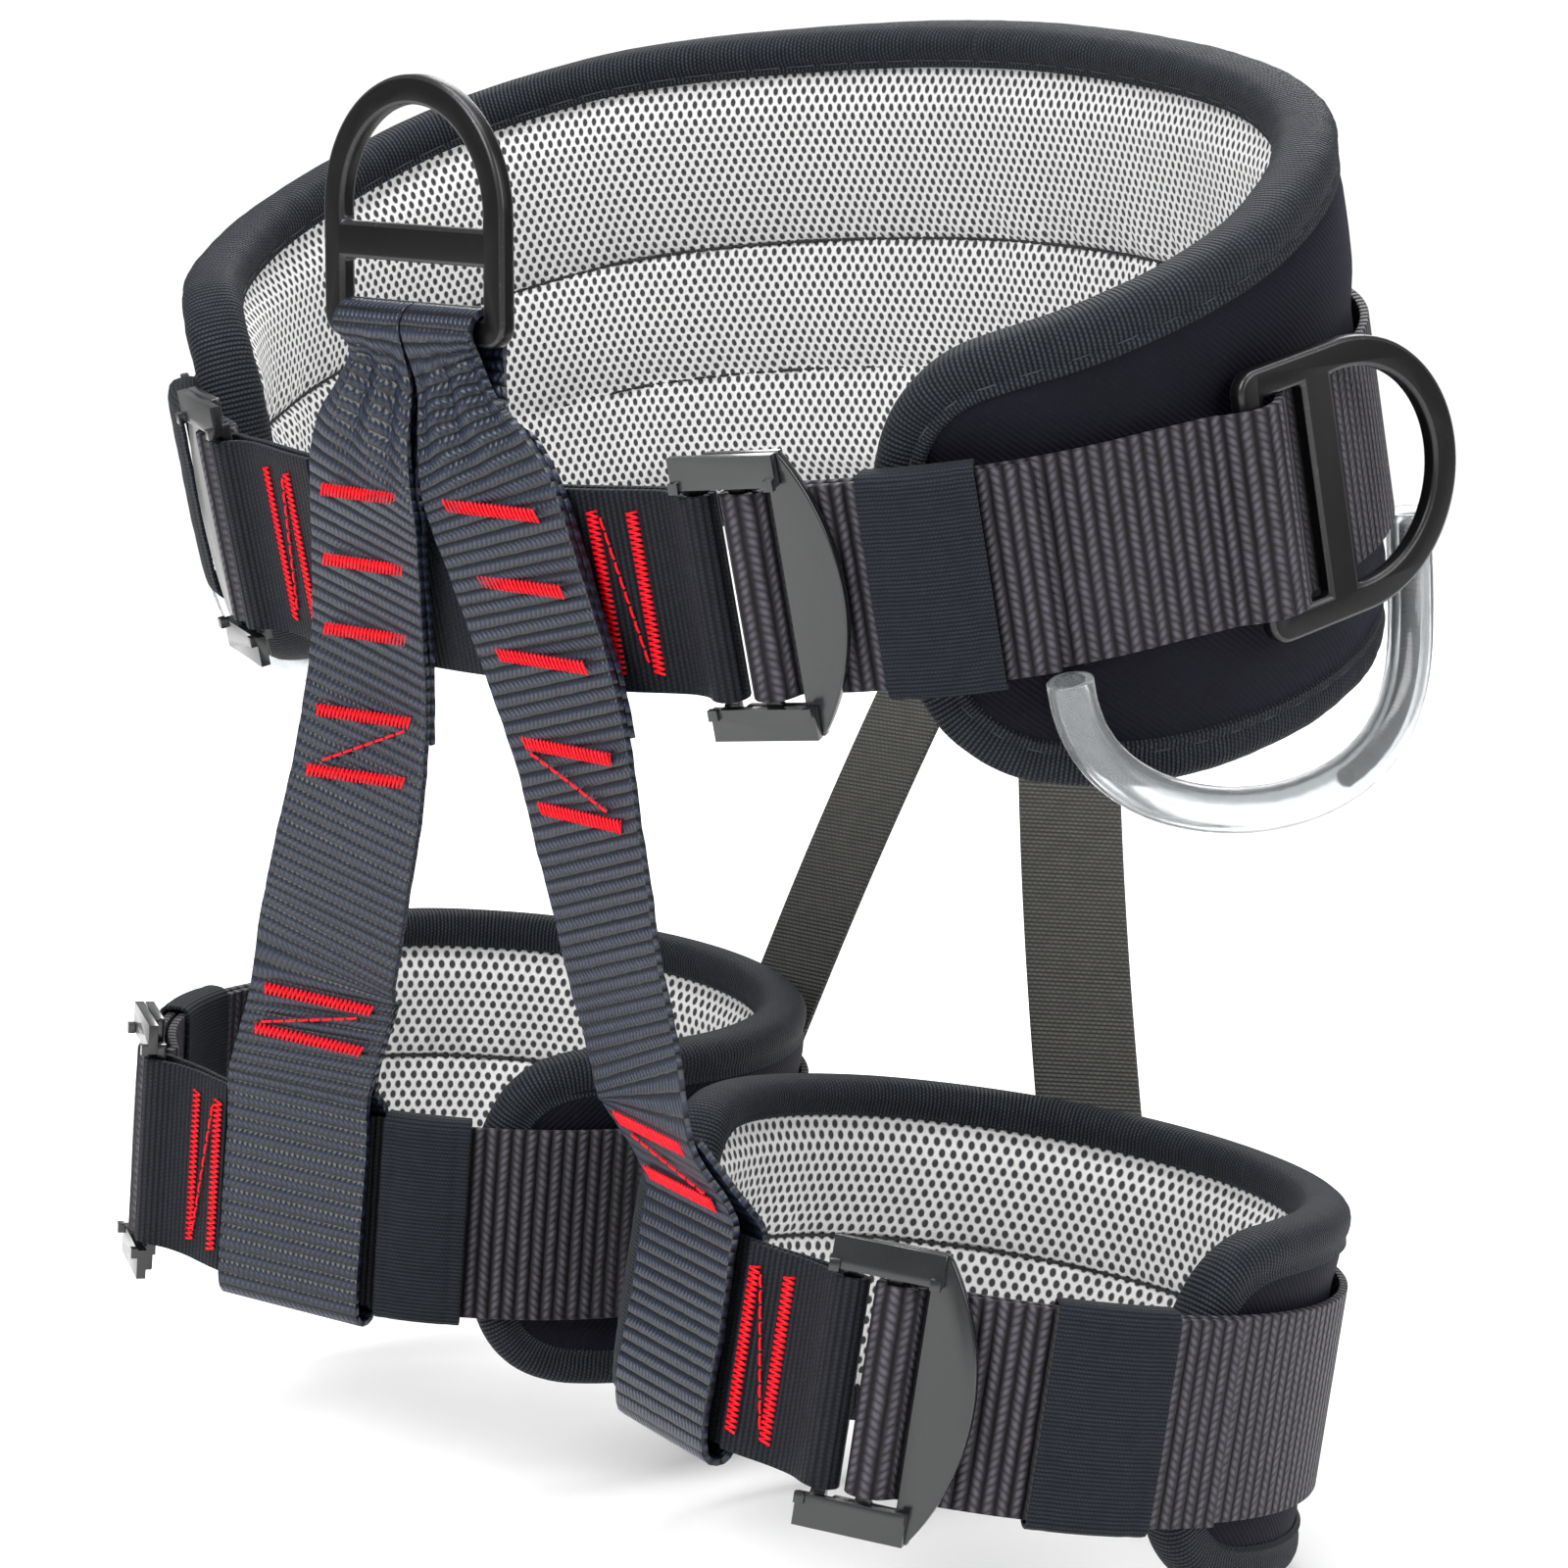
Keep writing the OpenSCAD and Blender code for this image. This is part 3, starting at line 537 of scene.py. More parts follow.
waist_shell = finish_shape(laid_cloth("waist_outer_shell", 300, 44, waist_shell_lay),
                           thick=SHELL_THICK, offset=-1)


def neoprene_finish():
    """Very fine jersey over neoprene, slightly dusty."""
    finish, surface, mottle, lint = start_finish("bluish black neoprene", 0.75, 60, 0.1)
    knit = add_node(finish.node_tree, "ShaderNodeTexWave",
                    {"Vector": weave_map(finish), "Scale": 380, "Distortion": 0.6}, "Fac",
                    bands_direction="DIAGONAL")
    jersey = mottle.mix((0.0022, 0.0022, 0.0048), (0.0055, 0.0055, 0.0105))
    set_inputs(surface, {"Base Color": (lint * 0.08).mix(jersey, (0.08, 0.08, 0.09)), "Sheen Weight": 0.04,
                         "Sheen Tint": (0.6, 0.65, 0.9), "Normal": raised(knit, 0.12)})
    return finish


neoprene = neoprene_finish()
waist_shell.data.materials.append(neoprene)
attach(waist_shell, "waist")
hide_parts("waist_pad_shell")


# ---- Binding of the waist belt ----
# Black ribbed tape folded over the belt's whole edge, through both faces, and sewn down with
# one line of stitches that draws a shallow groove along each side.
TAPE_PROFILE = [
    (9.0, -0.6), (8.4, 0.3), (7.4, 0.35), (6.5, -0.15), (5.4, 0.3), (3.2, 0.6), (0.8, 0.2), (-0.8, -1.6),
    (-1.4, -4.2), (-1.4, -8), (-0.8, -10.6), (0.8, -12.2), (3.0, -12.8), (4.9, -12.4), (5.7, -12.0),
    (6.6, -12.4), (7.2, -11.4),
]


def tape_profile(rows, thick):
    """The tape's section, scaled to the pad's thickness: (in from the edge, out) and how far round it is."""
    section = smooth_run([(x, y * thick / 12 if y < 0 else y) for x, y in TAPE_PROFILE], rows + 1)
    return section, run_lengths(section)


def edge_ring(outline, count):
    """A pad's closed outline as count places (run, height), and the inward direction at each."""
    line = smooth_run(outline, count + 1, closed=True)[:-1]
    ahead = np.roll(line, -1, axis=0) - np.roll(line, 1, axis=0)
    ahead /= np.linalg.norm(ahead, axis=1)[:, None]
    return line, np.stack([-ahead[:, 1], ahead[:, 0]], axis=1)


WAIST_TAPE_STEPS = 640
WAIST_TAPE_ROWS = 26
TAPE_THICK = 0.9
waist_half = [*reversed(PAD_TOP_EDGE), *PAD_LOW_EDGE]
waist_outline = waist_half[:-1] + [(2 * HALF_RUN - x, y) for x, y in reversed(waist_half)][:-1]
waist_ring, waist_inward = edge_ring(waist_outline, WAIST_TAPE_STEPS)
waist_section, waist_round = tape_profile(WAIST_TAPE_ROWS, 12)
waist_tape_length = float(np.linalg.norm(np.roll(waist_ring, -1, axis=0) - waist_ring, axis=1).sum())


def waist_tape_lay(u, v):
    i = round(u * WAIST_TAPE_STEPS) % WAIST_TAPE_STEPS
    j = round(v * WAIST_TAPE_ROWS)
    into, out = waist_section[j]
    run, height = waist_ring[i] + waist_inward[i] * into
    wobble = 0.25 * hash_wave(u * 900, 4) * (1 if 4 < j < 22 else 0.3)
    return pad_spot(run, out + wobble, height), (u * waist_tape_length * MM, waist_round[j] * MM)


waist_tape = finish_shape(laid_cloth("waist_binding_tape", WAIST_TAPE_STEPS, WAIST_TAPE_ROWS, waist_tape_lay),
                          thick=TAPE_THICK, merge=True)


def make_ribs_group():
    """Woven ribs that cross a band, each a row of small picks, from a UV map in metres."""
    group, (weave, rib_wide, pick_wide, twist), ends = start_group(
        "woven_ribs", "UV", ("Rib", "Pick", "Twist"), ("Height", "Shade"))
    along, across = add_node(group, "ShaderNodeSeparateXYZ", {"Vector": weave}, "X", "Y")
    loose = weave.noise(260, 2)
    rib = along / rib_wide + (loose - 0.5) * 0.12
    rib_start = rib.math("FLOOR")
    in_rib = rib - rib_start
    arch = (in_rib * math.pi).math("SINE")
    odd = (rib_start + 4000).math("MODULO", 2)
    lean = (in_rib - 0.5) * ((odd * 2 - 1) * twist)
    pick = across / pick_wide + (lean + odd * 0.5)
    knob = (pick * math.pi).math("SINE").math("ABSOLUTE")
    body = arch ** 0.9 * (knob * 0.35 + 0.65)
    put(body, ends["Height"])
    # Shade: painted shade in the grooves between ribs and a painted highlight on their crowns, following each
    # rib's arch
    put(body ** 2.4 * (loose + 0.5), ends["Shade"])
    return group


ribs_group = make_ribs_group()


def woven_finish(name, dark, light, rib, pick, twist, depth, roughness, gloss, tint=(1, 1, 1)):
    """A woven band: its ribs and picks in millimetres, its painted shadow and painted highlight colours, and
    its gloss.
    """
    finish, surface, mottle, lint = start_finish(name, roughness, 30, gloss)
    weave = {"UV": weave_map(finish), "Rib": rib * MM, "Pick": pick * MM, "Twist": twist}
    height, shade = add_node(finish.node_tree, "ShaderNodeGroup", weave, "Height", "Shade",
                             node_tree=ribs_group)
    faded = tuple(1.2 * c for c in light)
    # the rib colours are painted light: dark for shade between the ribs, light for a highlight on their
    # crowns; mottling fades them at random
    rib_shade_and_fade = (mottle * 0.15).mix(shade.mix(dark, light), faded)
    set_inputs(surface, {"Base Color": (lint * 0.03).mix(rib_shade_and_fade, (0.12, 0.12, 0.13)), "Sheen Weight": 0.03,
                         "Sheen Roughness": 0.4, "Sheen Tint": tint, "Normal": raised(height, depth)})
    return finish


binding_tape = woven_finish("black ribbed binding tape", (0.0006, 0.0007, 0.001), (0.034, 0.039, 0.050),
                            1.15, 0.9, 0.2, 0.35, 0.65, 0.1)
waist_tape.data.materials.append(binding_tape)
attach(waist_tape, "waist")
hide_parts("waist_binding")


def tape_seam_lines(lift):
    """Short stitches all round in the waist tape's grooves, each arched by lift."""
    lines = []
    for into, out in TAPE_GROOVES:
        for first in range(0, len(waist_ring), 5):
            places = []
            for t in range(5):
                i = (first + t) % len(waist_ring)
                run, height = waist_ring[i] + waist_inward[i] * into
                arch = math.copysign(lift, out + 5) * math.sin(math.pi * t / 4)
                places.append(pad_spot(run, out + arch, height))
            lines.append(places)
    return lines


# in from the edge and out, on the outer and the inner face
TAPE_GROOVES = ((6.5, 0.0), (5.7, -12.3))
SEAM_THREAD = 0.24
waist_seam = thread_line("waist_binding_seam", tape_seam_lines(0.4), SEAM_THREAD)
seam_thread = thread_finish("grey seam thread", (0.012, 0.013, 0.017), (0.05, 0.055, 0.065))
waist_seam.data.materials.append(seam_thread)
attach(waist_seam, "waist")


# ---- Adjustable waist webbing ----
# One length of charcoal load webbing 45 mm wide. It runs round the back over the pad, is
# threaded round each buckle's middle bar and doubles back on itself as a short tail.
WEB_HALF = 22.5
WEB_THICK = 2.0
BUCKLE_RUN = 88
RING_RUN = 193
ROUND_THE_BAR = [
    (16, 4.2), (10, 4.2), (6.6, 4.2), (4.3, 5.0), (2.9, 7.4), (1.2, 9.3), (-1.3, 9.9), (-3.7, 9.0),
    (-4.8, 6.9), (-4.2, 4.3), (-2, 2.3), (3, 1.7), (14, 1.6),
]
OVER_THE_RING = [
    (-14, 1.8), (-10, 3.2), (-6.5, 6.6), (-2.5, 9.2), (2.5, 9.2), (6, 7.2), (9, 3.6), (12.5, 0.9),
]
LEFT_TAIL = [(146, 4.6), (134, 4.4), (122, 4.4), (109, 4.4)]
RIGHT_TAIL = [(147, 5.8), (144, 4.9), (140, 4.5), (134, 4.4), (122, 4.4), (109, 4.4)]


def beside(run, along, out):
    """Plan point in the flat frame of a fitting on the belt at a run."""
    x, y = belt_spot(run, out)
    turn = heading(run)
    return x + along * math.cos(turn), y + along * math.sin(turn)


def half_belt(tail):
    """The webbing from its tail's end to the back middle, in plan."""
    line = [belt_spot(run, out) for run, out in tail]
    line += [beside(BUCKLE_RUN, along, out) for along, out in ROUND_THE_BAR]
    line += [belt_spot(run, 1.6) for run in range(108, 172, 9)]
    line += [beside(RING_RUN, along, out) for along, out in OVER_THE_RING]
    line += [belt_spot(run, 1.6) for run in range(210, 400, 14)]
    return line


def woven_strip(name, place, stations, thick, step=1.5, rows=14, edge=0.35, folds=None):
    """A band of webbing. Each station is a centre and a half-width vector, in millimetres, before place.
    Folds gives how far the band stands off its line, from the centre's height and the share across."""
    rough = np.array(stations, float)
    columns = max(8, int(run_lengths(rough[:, :3])[-1] / step))
    track = smooth_run(stations, columns + 1, lead=3)
    far = run_lengths(track[:, :3])

    def lay(u, v):
        i = round(u * columns)
        centre, half = track[i, :3], track[i, 3:6]
        ahead = track[min(i + 1, columns), :3] - track[max(i - 1, 0), :3]
        out = np.cross(ahead, half)
        out /= max(np.linalg.norm(out), 1e-9)
        w = 2 * v - 1
        spread = np.linalg.norm(half)
        spot = centre + half * w + out * (folds(centre[2], w) if folds else 0)
        return place @ Vector(spot) * MM, (far[i] * MM, w * spread * MM)

    return finish_shape(laid_cloth(name, columns, rows, lay), thick=thick, edge=edge)


def standing(line):
    """Stations of a band that stands on edge along a plan line."""
    return [(x, y, 0, 0, 0, WEB_HALF) for x, y in line]


right_half = half_belt(RIGHT_TAIL)
waist_belt = standing(half_belt(LEFT_TAIL) + [(-x, y) for x, y in reversed(right_half)])
waist_webbing = woven_strip("waist_webbing_band", WAIST, waist_belt, WEB_THICK)
load_webbing = woven_finish("charcoal load webbing", (0.0003, 0.0003, 0.0005), (0.085, 0.078, 0.095),
                            3.0, 1.9, 0.8, 1.1, 0.55, 0.15, (0.9, 0.88, 1.0))
waist_webbing.data.materials.append(load_webbing)
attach(waist_webbing, "waist")
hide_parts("waist_webbing")


# ---- Sewn front belt ----
# A flat black webbing of a finer weave that joins the two buckles across the front. Each end
# is folded round a buckle tongue's bar and sewn back on itself.
SEWN_THICK = 1.5
TONGUE_FOLD = [
    (-16, 6.6), (-13.6, 9.2), (-11, 10.2), (-8.6, 9.2), (-7.7, 7.0), (-8.6, 4.8), (-11, 3.8), (-15, 3.4),
]
front_side = [belt_spot(run, 4.9) for run in (40, 52, 63)] + [belt_spot(68, 5.4)]
front_side += [beside(BUCKLE_RUN, along, out) for along, out in TONGUE_FOLD]
front_side += [belt_spot(run, out) for run, out in ((66, 2.9), (58, 2.6), (44, 2.6), (30, 2.6), (15, 2.6))]
front_belt = standing(front_side + [belt_spot(0, 2.6)] + [(-x, y) for x, y in reversed(front_side)])
front_webbing = woven_strip("front_belt_webbing_band", WAIST, front_belt, SEWN_THICK, edge=0.3)
sewn_webbing = woven_finish("flat black webbing", (0.0006, 0.0007, 0.0012), (0.013, 0.015, 0.022),
                            1.5, 1.0, 0.4, 0.3, 0.6, 0.15, (0.8, 0.82, 1.0))
front_webbing.data.materials.append(sewn_webbing)
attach(front_webbing, "waist")
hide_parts("front_belt_webbing")


# ---- Red stitching of the front belt ----
# Bar tacks in bonded red thread: a dense zigzag about 2.5 mm wide, in pairs joined by one
# slanted line of single stitches, so that each block reads as an N.
TACK_WIDE = 2.6
TACK_STEP = 0.62
THREAD_RADIUS = 0.34


def bar_tack(spot, a, b):
    """A zigzag from a to b, both (along, across) in millimetres, on the surface that spot gives."""
    ax, ay = a
    bx, by = b
    length = math.hypot(bx - ax, by - ay)
    tx, ty = (bx - ax) / length, (by - ay) / length
    line = []
    turns = int(length / TACK_STEP)
    for k in range(turns + 1):
        reach = length * k / turns
        side = TACK_WIDE / 2 * (1 if k % 2 else -1)
        for share, lift in ((0.86, 0.15), (1.0, 0.0)) if k % 2 else ((1.0, 0.0), (0.86, 0.15)):
            line.append(spot(ax + tx * reach - ty * side * share, ay + ty * reach + tx * side * share, lift))
    return line


def slant_stitches(spot, a, b, length=2.6, gap=0.7):
    """Single stitches from a to b."""
    whole = math.hypot(b[0] - a[0], b[1] - a[1])
    lines = []
    for k in range(int(whole / (length + gap))):
        shares = [(k * (length + gap) + t * length) / whole for t in (0, 0.25, 0.75, 1)]
        lines.append([spot(a[0] + s * (b[0] - a[0]), a[1] + s * (b[1] - a[1]), 0.25 * (0 < i < 3))
                      for i, s in enumerate(shares)])
    return lines


def stitched_n(spot, tacks, half, slant, rise=1):
    """Two bar tacks, half millimetres to each side, joined by one slanted line of stitches."""
    lines = [bar_tack(spot, (along, -half), (along, half)) for along in tacks]
    side = rise * (half - 1.5)
    return lines + slant_stitches(spot, (slant[0], side), (slant[1], -side))


def belt_stitch_spot(run, height, lift):
    x, y = belt_spot(run, 5.85 + lift)
    return WAIST @ Vector((x, y, height)) * MM


belt_lines = []
for side in (-1, 1):
    belt_lines += stitched_n(belt_stitch_spot, (side * 50, side * 60), 18, (side * 52, side * 58))
belt_stitching = thread_line("belt_stitching_thread", belt_lines, THREAD_RADIUS)
red_thread = thread_finish("red bonded thread", (0.60, 0.001, 0.008), (0.90, 0.006, 0.020))
belt_stitching.data.materials.append(red_thread)
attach(belt_stitching, "waist")
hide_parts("belt_stitching")


# ---- Buckles ----
# Two-part steel buckles in gloss black: a back frame that carries the adjustable webbing, and
# a lipped front tongue that passes through it and locks. Their edges are tumbled round.
def metal_finish(name, colour, worn, roughness, metallic, gloss, coat):
    """Coated metal with faint scuffs that change its gloss."""
    finish, surface, mottle, lint = start_finish(name, roughness, 45)
    set_inputs(surface, {
        "Base Color": (lint * 0.5).mix(colour, worn), "Roughness": mottle * 0.16 + (roughness - 0.08),
        "Metallic": metallic, "Specular IOR Level": gloss, "Coat Weight": coat, "Coat Roughness": 0.12,
        "Normal": raised(mottle, 0.05)})
    return finish


def fit_fitting(node, kind, body, finishes, edge, segments=3):
    """A fitting made from a copy of its solid, with merged faces and rounded edges. Its bevels take the
    second finish."""
    piece = frame["nodes"][node].copy()
    piece.data = piece.data.copy()
    piece.data.materials.clear()
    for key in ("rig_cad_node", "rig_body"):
        if key in piece:
            del piece[key]
    piece.parent = None
    piece.name = piece.data.name = f"{node}_{kind}"
    bpy.context.scene.collection.objects.link(piece)
    pick_out(piece)
    bpy.ops.object.mode_set(mode="EDIT")
    bpy.ops.mesh.select_all(action="SELECT")
    bpy.ops.mesh.remove_doubles(threshold=0.00001)
    bpy.ops.mesh.dissolve_limited(angle_limit=math.radians(0.5))
    bpy.ops.object.mode_set(mode="OBJECT")
    for finish in finishes:
        piece.data.materials.append(finish)
    shape_with(piece, "BEVEL", width=edge * MM, segments=segments, limit_method="ANGLE",
               angle_limit=math.radians(40), material=1)
    bpy.ops.object.shade_smooth_by_angle(angle=math.radians(35))
    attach(piece, body)
    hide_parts(node)


buckle_finishes = (
    metal_finish("gloss black steel", (0.005, 0.006, 0.007), (0.02, 0.02, 0.022), 0.26, 0.0, 0.6, 0.35),
    metal_finish("gloss black steel edge", (0.008, 0.009, 0.010), (0.05, 0.05, 0.055), 0.2, 0.2, 0.6, 0.4))
for side in "lr":
    for part, body in (("waist", "waist"), ("leg", f"leg_{side}")):
        fit_fitting(f"{part}_buckle_frame_{side}", "steel", body, buckle_finishes, 0.5)
        fit_fitting(f"{part}_buckle_tongue_{side}", "steel", f"{part}_tongue_{side}",
                    buckle_finishes, 0.5)


# ---- Rings ----
# D rings cut from aluminium plate with a slot for the webbing, anodised satin black. Their bevelled edges
# take a lighter finish all round, a painted highlight where the machined edges catch the light.
ring_finishes = (
    metal_finish("satin black anodised aluminium", (0.003, 0.003, 0.0033), (0.015, 0.015, 0.016),
                 0.38, 0.0, 0.18, 0.04),
    # the bevels' lighter colour is a painted highlight along the ring's edges
    metal_finish("ring edge painted highlight", (0.025, 0.025, 0.027), (0.10, 0.10, 0.105), 0.32, 0.5, 0.5, 0.1))
for node in ("front_ring", "side_ring_l", "side_ring_r"):
    fit_fitting(node, "plate", node, ring_finishes, 0.9, segments=2)


# ---- Waist keepers ----
# Sleeves of charcoal elastic that hold the webbing's tail flat. Each is wrapped round both
# layers and slides along them, with a sewn line near each edge.
def sleeve(name, place, mirror, first, last, radius, reach):
    """Elastic wrapped round the webbing from one angle to another, reach millimetres proud of the radius."""
    half = WEB_HALF + 1.5
    corner = 2.2
    outline = []
    for cx, cz, start in ((reach - corner, half - corner, 0), (corner, half - corner, 90),
                          (corner, corner - half, 180), (reach - corner, corner - half, 270)):
        for k in range(4):
            turn = math.radians(start + k * 30)
            outline.append((cx + corner * math.cos(turn), cz + corner * math.sin(turn)))
    around = 84
    ring = smooth_run(outline, around + 1, closed=True)
    steps = run_lengths(ring)

    def lay(u, v):
        i = round(u * around)
        out, height = ring[i % around]
        turn = math.radians(first + v * (last - first))
        groove = 0.3 * (math.exp(-((v - 0.14) / 0.035) ** 2) + math.exp(-((v - 0.86) / 0.035) ** 2))
        swell = 0.35 * math.sin(math.pi * v) - groove + 0.12 * hash_wave(height * 0.8, 3)
        r = radius + out + (swell if out > reach / 2 else 0)
        spot = Vector((mirror * r * math.sin(turn), -r * math.cos(turn), height))
        return place @ spot * MM, (steps[i] * MM, v * math.radians(last - first) * radius * MM)

    return finish_shape(laid_cloth(name, around, 26, lay), thick=0.9, edge=0.25, merge=True)


elastic = woven_finish("charcoal elastic", (0.004, 0.005, 0.007), (0.022, 0.026, 0.034),
                       0.9, 0.7, 0.3, 0.2, 0.7, 0.1)
for side, mirror in (("l", 1), ("r", -1)):
    hip = WAIST @ Matrix.Translation((mirror * SIDE_OFFSET, 0, 0))
    keeper = sleeve(f"waist_keeper_{side}_elastic", hip, mirror, 24.5, 41, HIP_RADIUS + 0.1, 7.4)
    keeper.data.materials.append(elastic)
    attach(keeper, f"waist_keeper_{side}")
    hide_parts(f"waist_keeper_{side}")


# ---- Gear loops ----
# A clear flexible tube 10 mm across hangs in a U below the belt on each hip, with its ends under
# the webbing. A short braided cord lies inside its back half.
LOOP_START = math.radians(49.5)
LOOP_END = math.radians(134)
LOOP_DROP = 42
LOOP_HEIGHT = -24.5
TUBE_RADIUS = 5
TUBE_WALL = 1.75
CORD_RADIUS = 2.2


def loop_spot(t, mirror):
    """Place on the tube's middle line, t from 0 at its front end to pi at its back end."""
    turn = (LOOP_START + LOOP_END) / 2 - (LOOP_END - LOOP_START) / 2 * math.cos(t)
    radius = HIP_RADIUS + 5.4 - 5.5 * math.sin(t)
    height = LOOP_HEIGHT - LOOP_DROP * max(0, math.sin(t)) ** 0.8
    x = mirror * (SIDE_OFFSET + radius * math.sin(turn))
    return WAIST @ Vector((x, -radius * math.cos(turn), height)) * MM


def tube_skin(name, middle, radius, around):
    """A round skin along a list of places, with how far along and round it is as its UV map."""
    centres = smooth_run(middle, len(middle) * 2)
    far = run_lengths(centres)
    last = len(centres) - 1

    def lay(u, v):
        i = round(u * last)
        ahead = Vector(centres[min(i + 1, last)] - centres[max(i - 1, 0)]).normalized()
        side = ahead.cross(Vector((0, 0.1, 1))).normalized()
        up = side.cross(ahead)
        turn = 2 * math.pi * v
        spot = Vector(centres[i]) + (side * math.cos(turn) + up * math.sin(turn)) * radius * MM
        return spot, (far[i], v * 2 * math.pi * radius * MM)

    return laid_cloth(name, last, around, lay)


def clear_tube_finish():
    """Clear soft plastic, a little cloudy and rubbed."""
    finish, surface, mottle, _ = start_finish("clear soft plastic", 0.14, 70)
    set_inputs(surface, {
        "Base Color": mottle.mix((0.80, 0.83, 0.85), (0.93, 0.95, 0.96)), "Roughness": mottle * 0.2 + 0.05,
        "Specular IOR Level": 0.5, "Transmission Weight": 0.92, "IOR": 1.36, "Normal": raised(mottle, 0.25)})
    return finish


clear_plastic = clear_tube_finish()
braid = woven_finish("black braided cord", (0.004, 0.004, 0.005), (0.035, 0.035, 0.04),
                     1.3, 1.1, 1.6, 0.35, 0.6, 0.3)
for side, mirror in (("l", 1), ("r", -1)):
    ends = [loop_spot(math.radians(t), mirror) for t in range(0, 181, 4)]
    tube = tube_skin(f"gear_loop_tube_{side}_clear", ends, TUBE_RADIUS, 40)
    finish_shape(tube, thick=TUBE_WALL, offset=-1, edge=0.35, merge=True)
    tube.data.materials.append(clear_plastic)
    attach(tube, f"gear_loop_{side}")
    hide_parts(f"gear_loop_tube_{side}")
    inside = [loop_spot(math.radians(t), mirror) for t in range(94, 181, 3)]
    cord_piece = tube_skin(f"gear_loop_cord_{side}_braid", inside, CORD_RADIUS, 24)
    finish_shape(cord_piece, merge=True)
    bpy.ops.object.mode_set(mode="EDIT")
    bpy.ops.mesh.select_all(action="DESELECT")
    bpy.ops.mesh.select_non_manifold(extend=False, use_boundary=True)
    bpy.ops.mesh.edge_face_add()
    bpy.ops.object.mode_set(mode="OBJECT")
    cord_piece.data.materials.append(braid)
    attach(cord_piece, f"gear_loop_{side}")
    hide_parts(f"gear_loop_cord_{side}")


# ---- Leg loop pads ----
# Each leg pad is made like the belt: foam between a neoprene shell and a mesh lining with one
# row of quilting, all bound with ribbed tape. It wraps the outside and back of the thigh.
LEG_RADIUS = 75
LEG_CENTRE = (84.5, -15, -183)
LEG_PITCH = {"l": -8, "r": -2}
LEG_ROLL = 4
LEG_RISE = {"l": -7, "r": 7}
LEG_FIRST = 77
LEG_LAST = 312
DEGREE_RUN = LEG_RADIUS * math.pi / 180
LEG_CORE_OUT = -5.2
LEG_CORE_THICK = 4.6
LEG_LINING_OUT = -8.4
LEG_LINING_CROWN = 3.0
LEG_SHELL_OUT = -2.4
LEG_QUILT_OUT = -9.1
LEG_QUILT_ROW = (0.55,)
LEG_END_SHAPE = [(0, 14), (1.6, 22), (4.6, 29), (9, 34), (15, 37), (24, 38.3)]


def leg_frame(side):
    """Frame of a leg loop. The right loop's shapes are the left ones in a mirror."""
    k = 1 if side == "l" else -1
    centre = Vector((k * LEG_CENTRE[0], LEG_CENTRE[1], LEG_CENTRE[2] + LEG_RISE[side]))
    roll = Matrix.Rotation(math.radians(LEG_ROLL), 4, "Y")
    pitch = Matrix.Rotation(math.radians(LEG_PITCH[side]), 4, "X")
    flip = Matrix.Scale(k, 4, (1, 0, 0))
    return Matrix.Translation(centre) @ roll @ pitch @ flip


def leg_plan(angle, out):
    """Plan point on a leg loop, angle in degrees from its front middle."""
    turn = math.radians(angle)
    return (LEG_RADIUS + out) * math.sin(turn), -(LEG_RADIUS + out) * math.cos(turn)


def leg_beside(angle, along, out):
    """Plan point in the flat frame of a fitting on a leg loop at an angle."""
    x, y = leg_plan(angle, out)
    turn = math.radians(angle)
    return x + along * math.cos(turn), y + along * math.sin(turn)


def leg_edge_line():
    """Half height of a leg pad over its angle, with its rounded ends."""
    start = [(LEG_FIRST + a, h) for a, h in LEG_END_SHAPE]
    middle = [(a, 39) for a in range(115, 275, 20)]
    end = [(LEG_LAST - a, h) for a, h in reversed(LEG_END_SHAPE)]
    return start + middle + end


leg_edge = leg_edge_line()
leg_edge_fine = smooth_run(leg_edge, 260)


def leg_half_height(angle):
    return float(np.interp(angle, leg_edge_fine[:, 0], leg_edge_fine[:, 1]))


def leg_column(u):
    return LEG_FIRST + (u - 0.6 * math.sin(2 * math.pi * u) / (2 * math.pi)) * (LEG_LAST - LEG_FIRST)


def leg_layer(name, side, out_at, inset, along, across, thick, offset=0):
    """A layer of a leg pad. out_at gives how far out it lies at a share of the height."""
    place = leg_frame(side)

    def lay(u, v):
        angle = leg_column(u)
        half = leg_half_height(angle) - inset
        height = half * (2 * v - 1)
        x, y = leg_plan(angle, out_at(v, angle, height, half))
        return place @ Vector((x, y, height)) * MM, (angle * DEGREE_RUN * MM, height * MM)

    return finish_shape(laid_cloth(name, along, across, lay), thick=thick, offset=offset)


def leg_core_out(v, angle, height, half):
    return LEG_CORE_OUT


def leg_lining_out(v, angle, height, half):
    ends = min(1, (min(angle - LEG_FIRST, LEG_LAST - angle) + 1) / 10)
    under_tape = ease_in(half - abs(height), 4, 13) * ends
    proud = quilted(v, angle * DEGREE_RUN, LEG_QUILT_ROW, LEG_LINING_CROWN, 2 * half)
    return LEG_LINING_OUT - (proud + 0.3 * hash_wave(angle * 0.22, 7)) * under_tape


def leg_shell_out(v, angle, height, half):
    soft = min(1, max(0, half - abs(height)) / 11) ** 0.6
    clear = min(1, max(0, abs(height) - 23.5) / 7)
    ripple = 0.2 * hash_wave(angle * 0.25 + height * 0.15, 3) * clear
    return LEG_SHELL_OUT + 1.4 * soft + 1.2 * clear * soft + ripple


LEG_TAPE_STEPS = 380
LEG_TAPE_ROWS = 22
LEG_TAPE_LENGTH = 0.77
leg_mesh = spacer_mesh_finish("light grey leg mesh", 3.2, 2.4, 0.27, 0.40)
leg_loop_line = [(a * DEGREE_RUN, h) for a, h in leg_edge]
leg_outline = list(reversed(leg_loop_line)) + [(x, -h) for x, h in leg_loop_line]
leg_ring, leg_inward = edge_ring(leg_outline, LEG_TAPE_STEPS)
leg_section, leg_round = tape_profile(LEG_TAPE_ROWS, 10)


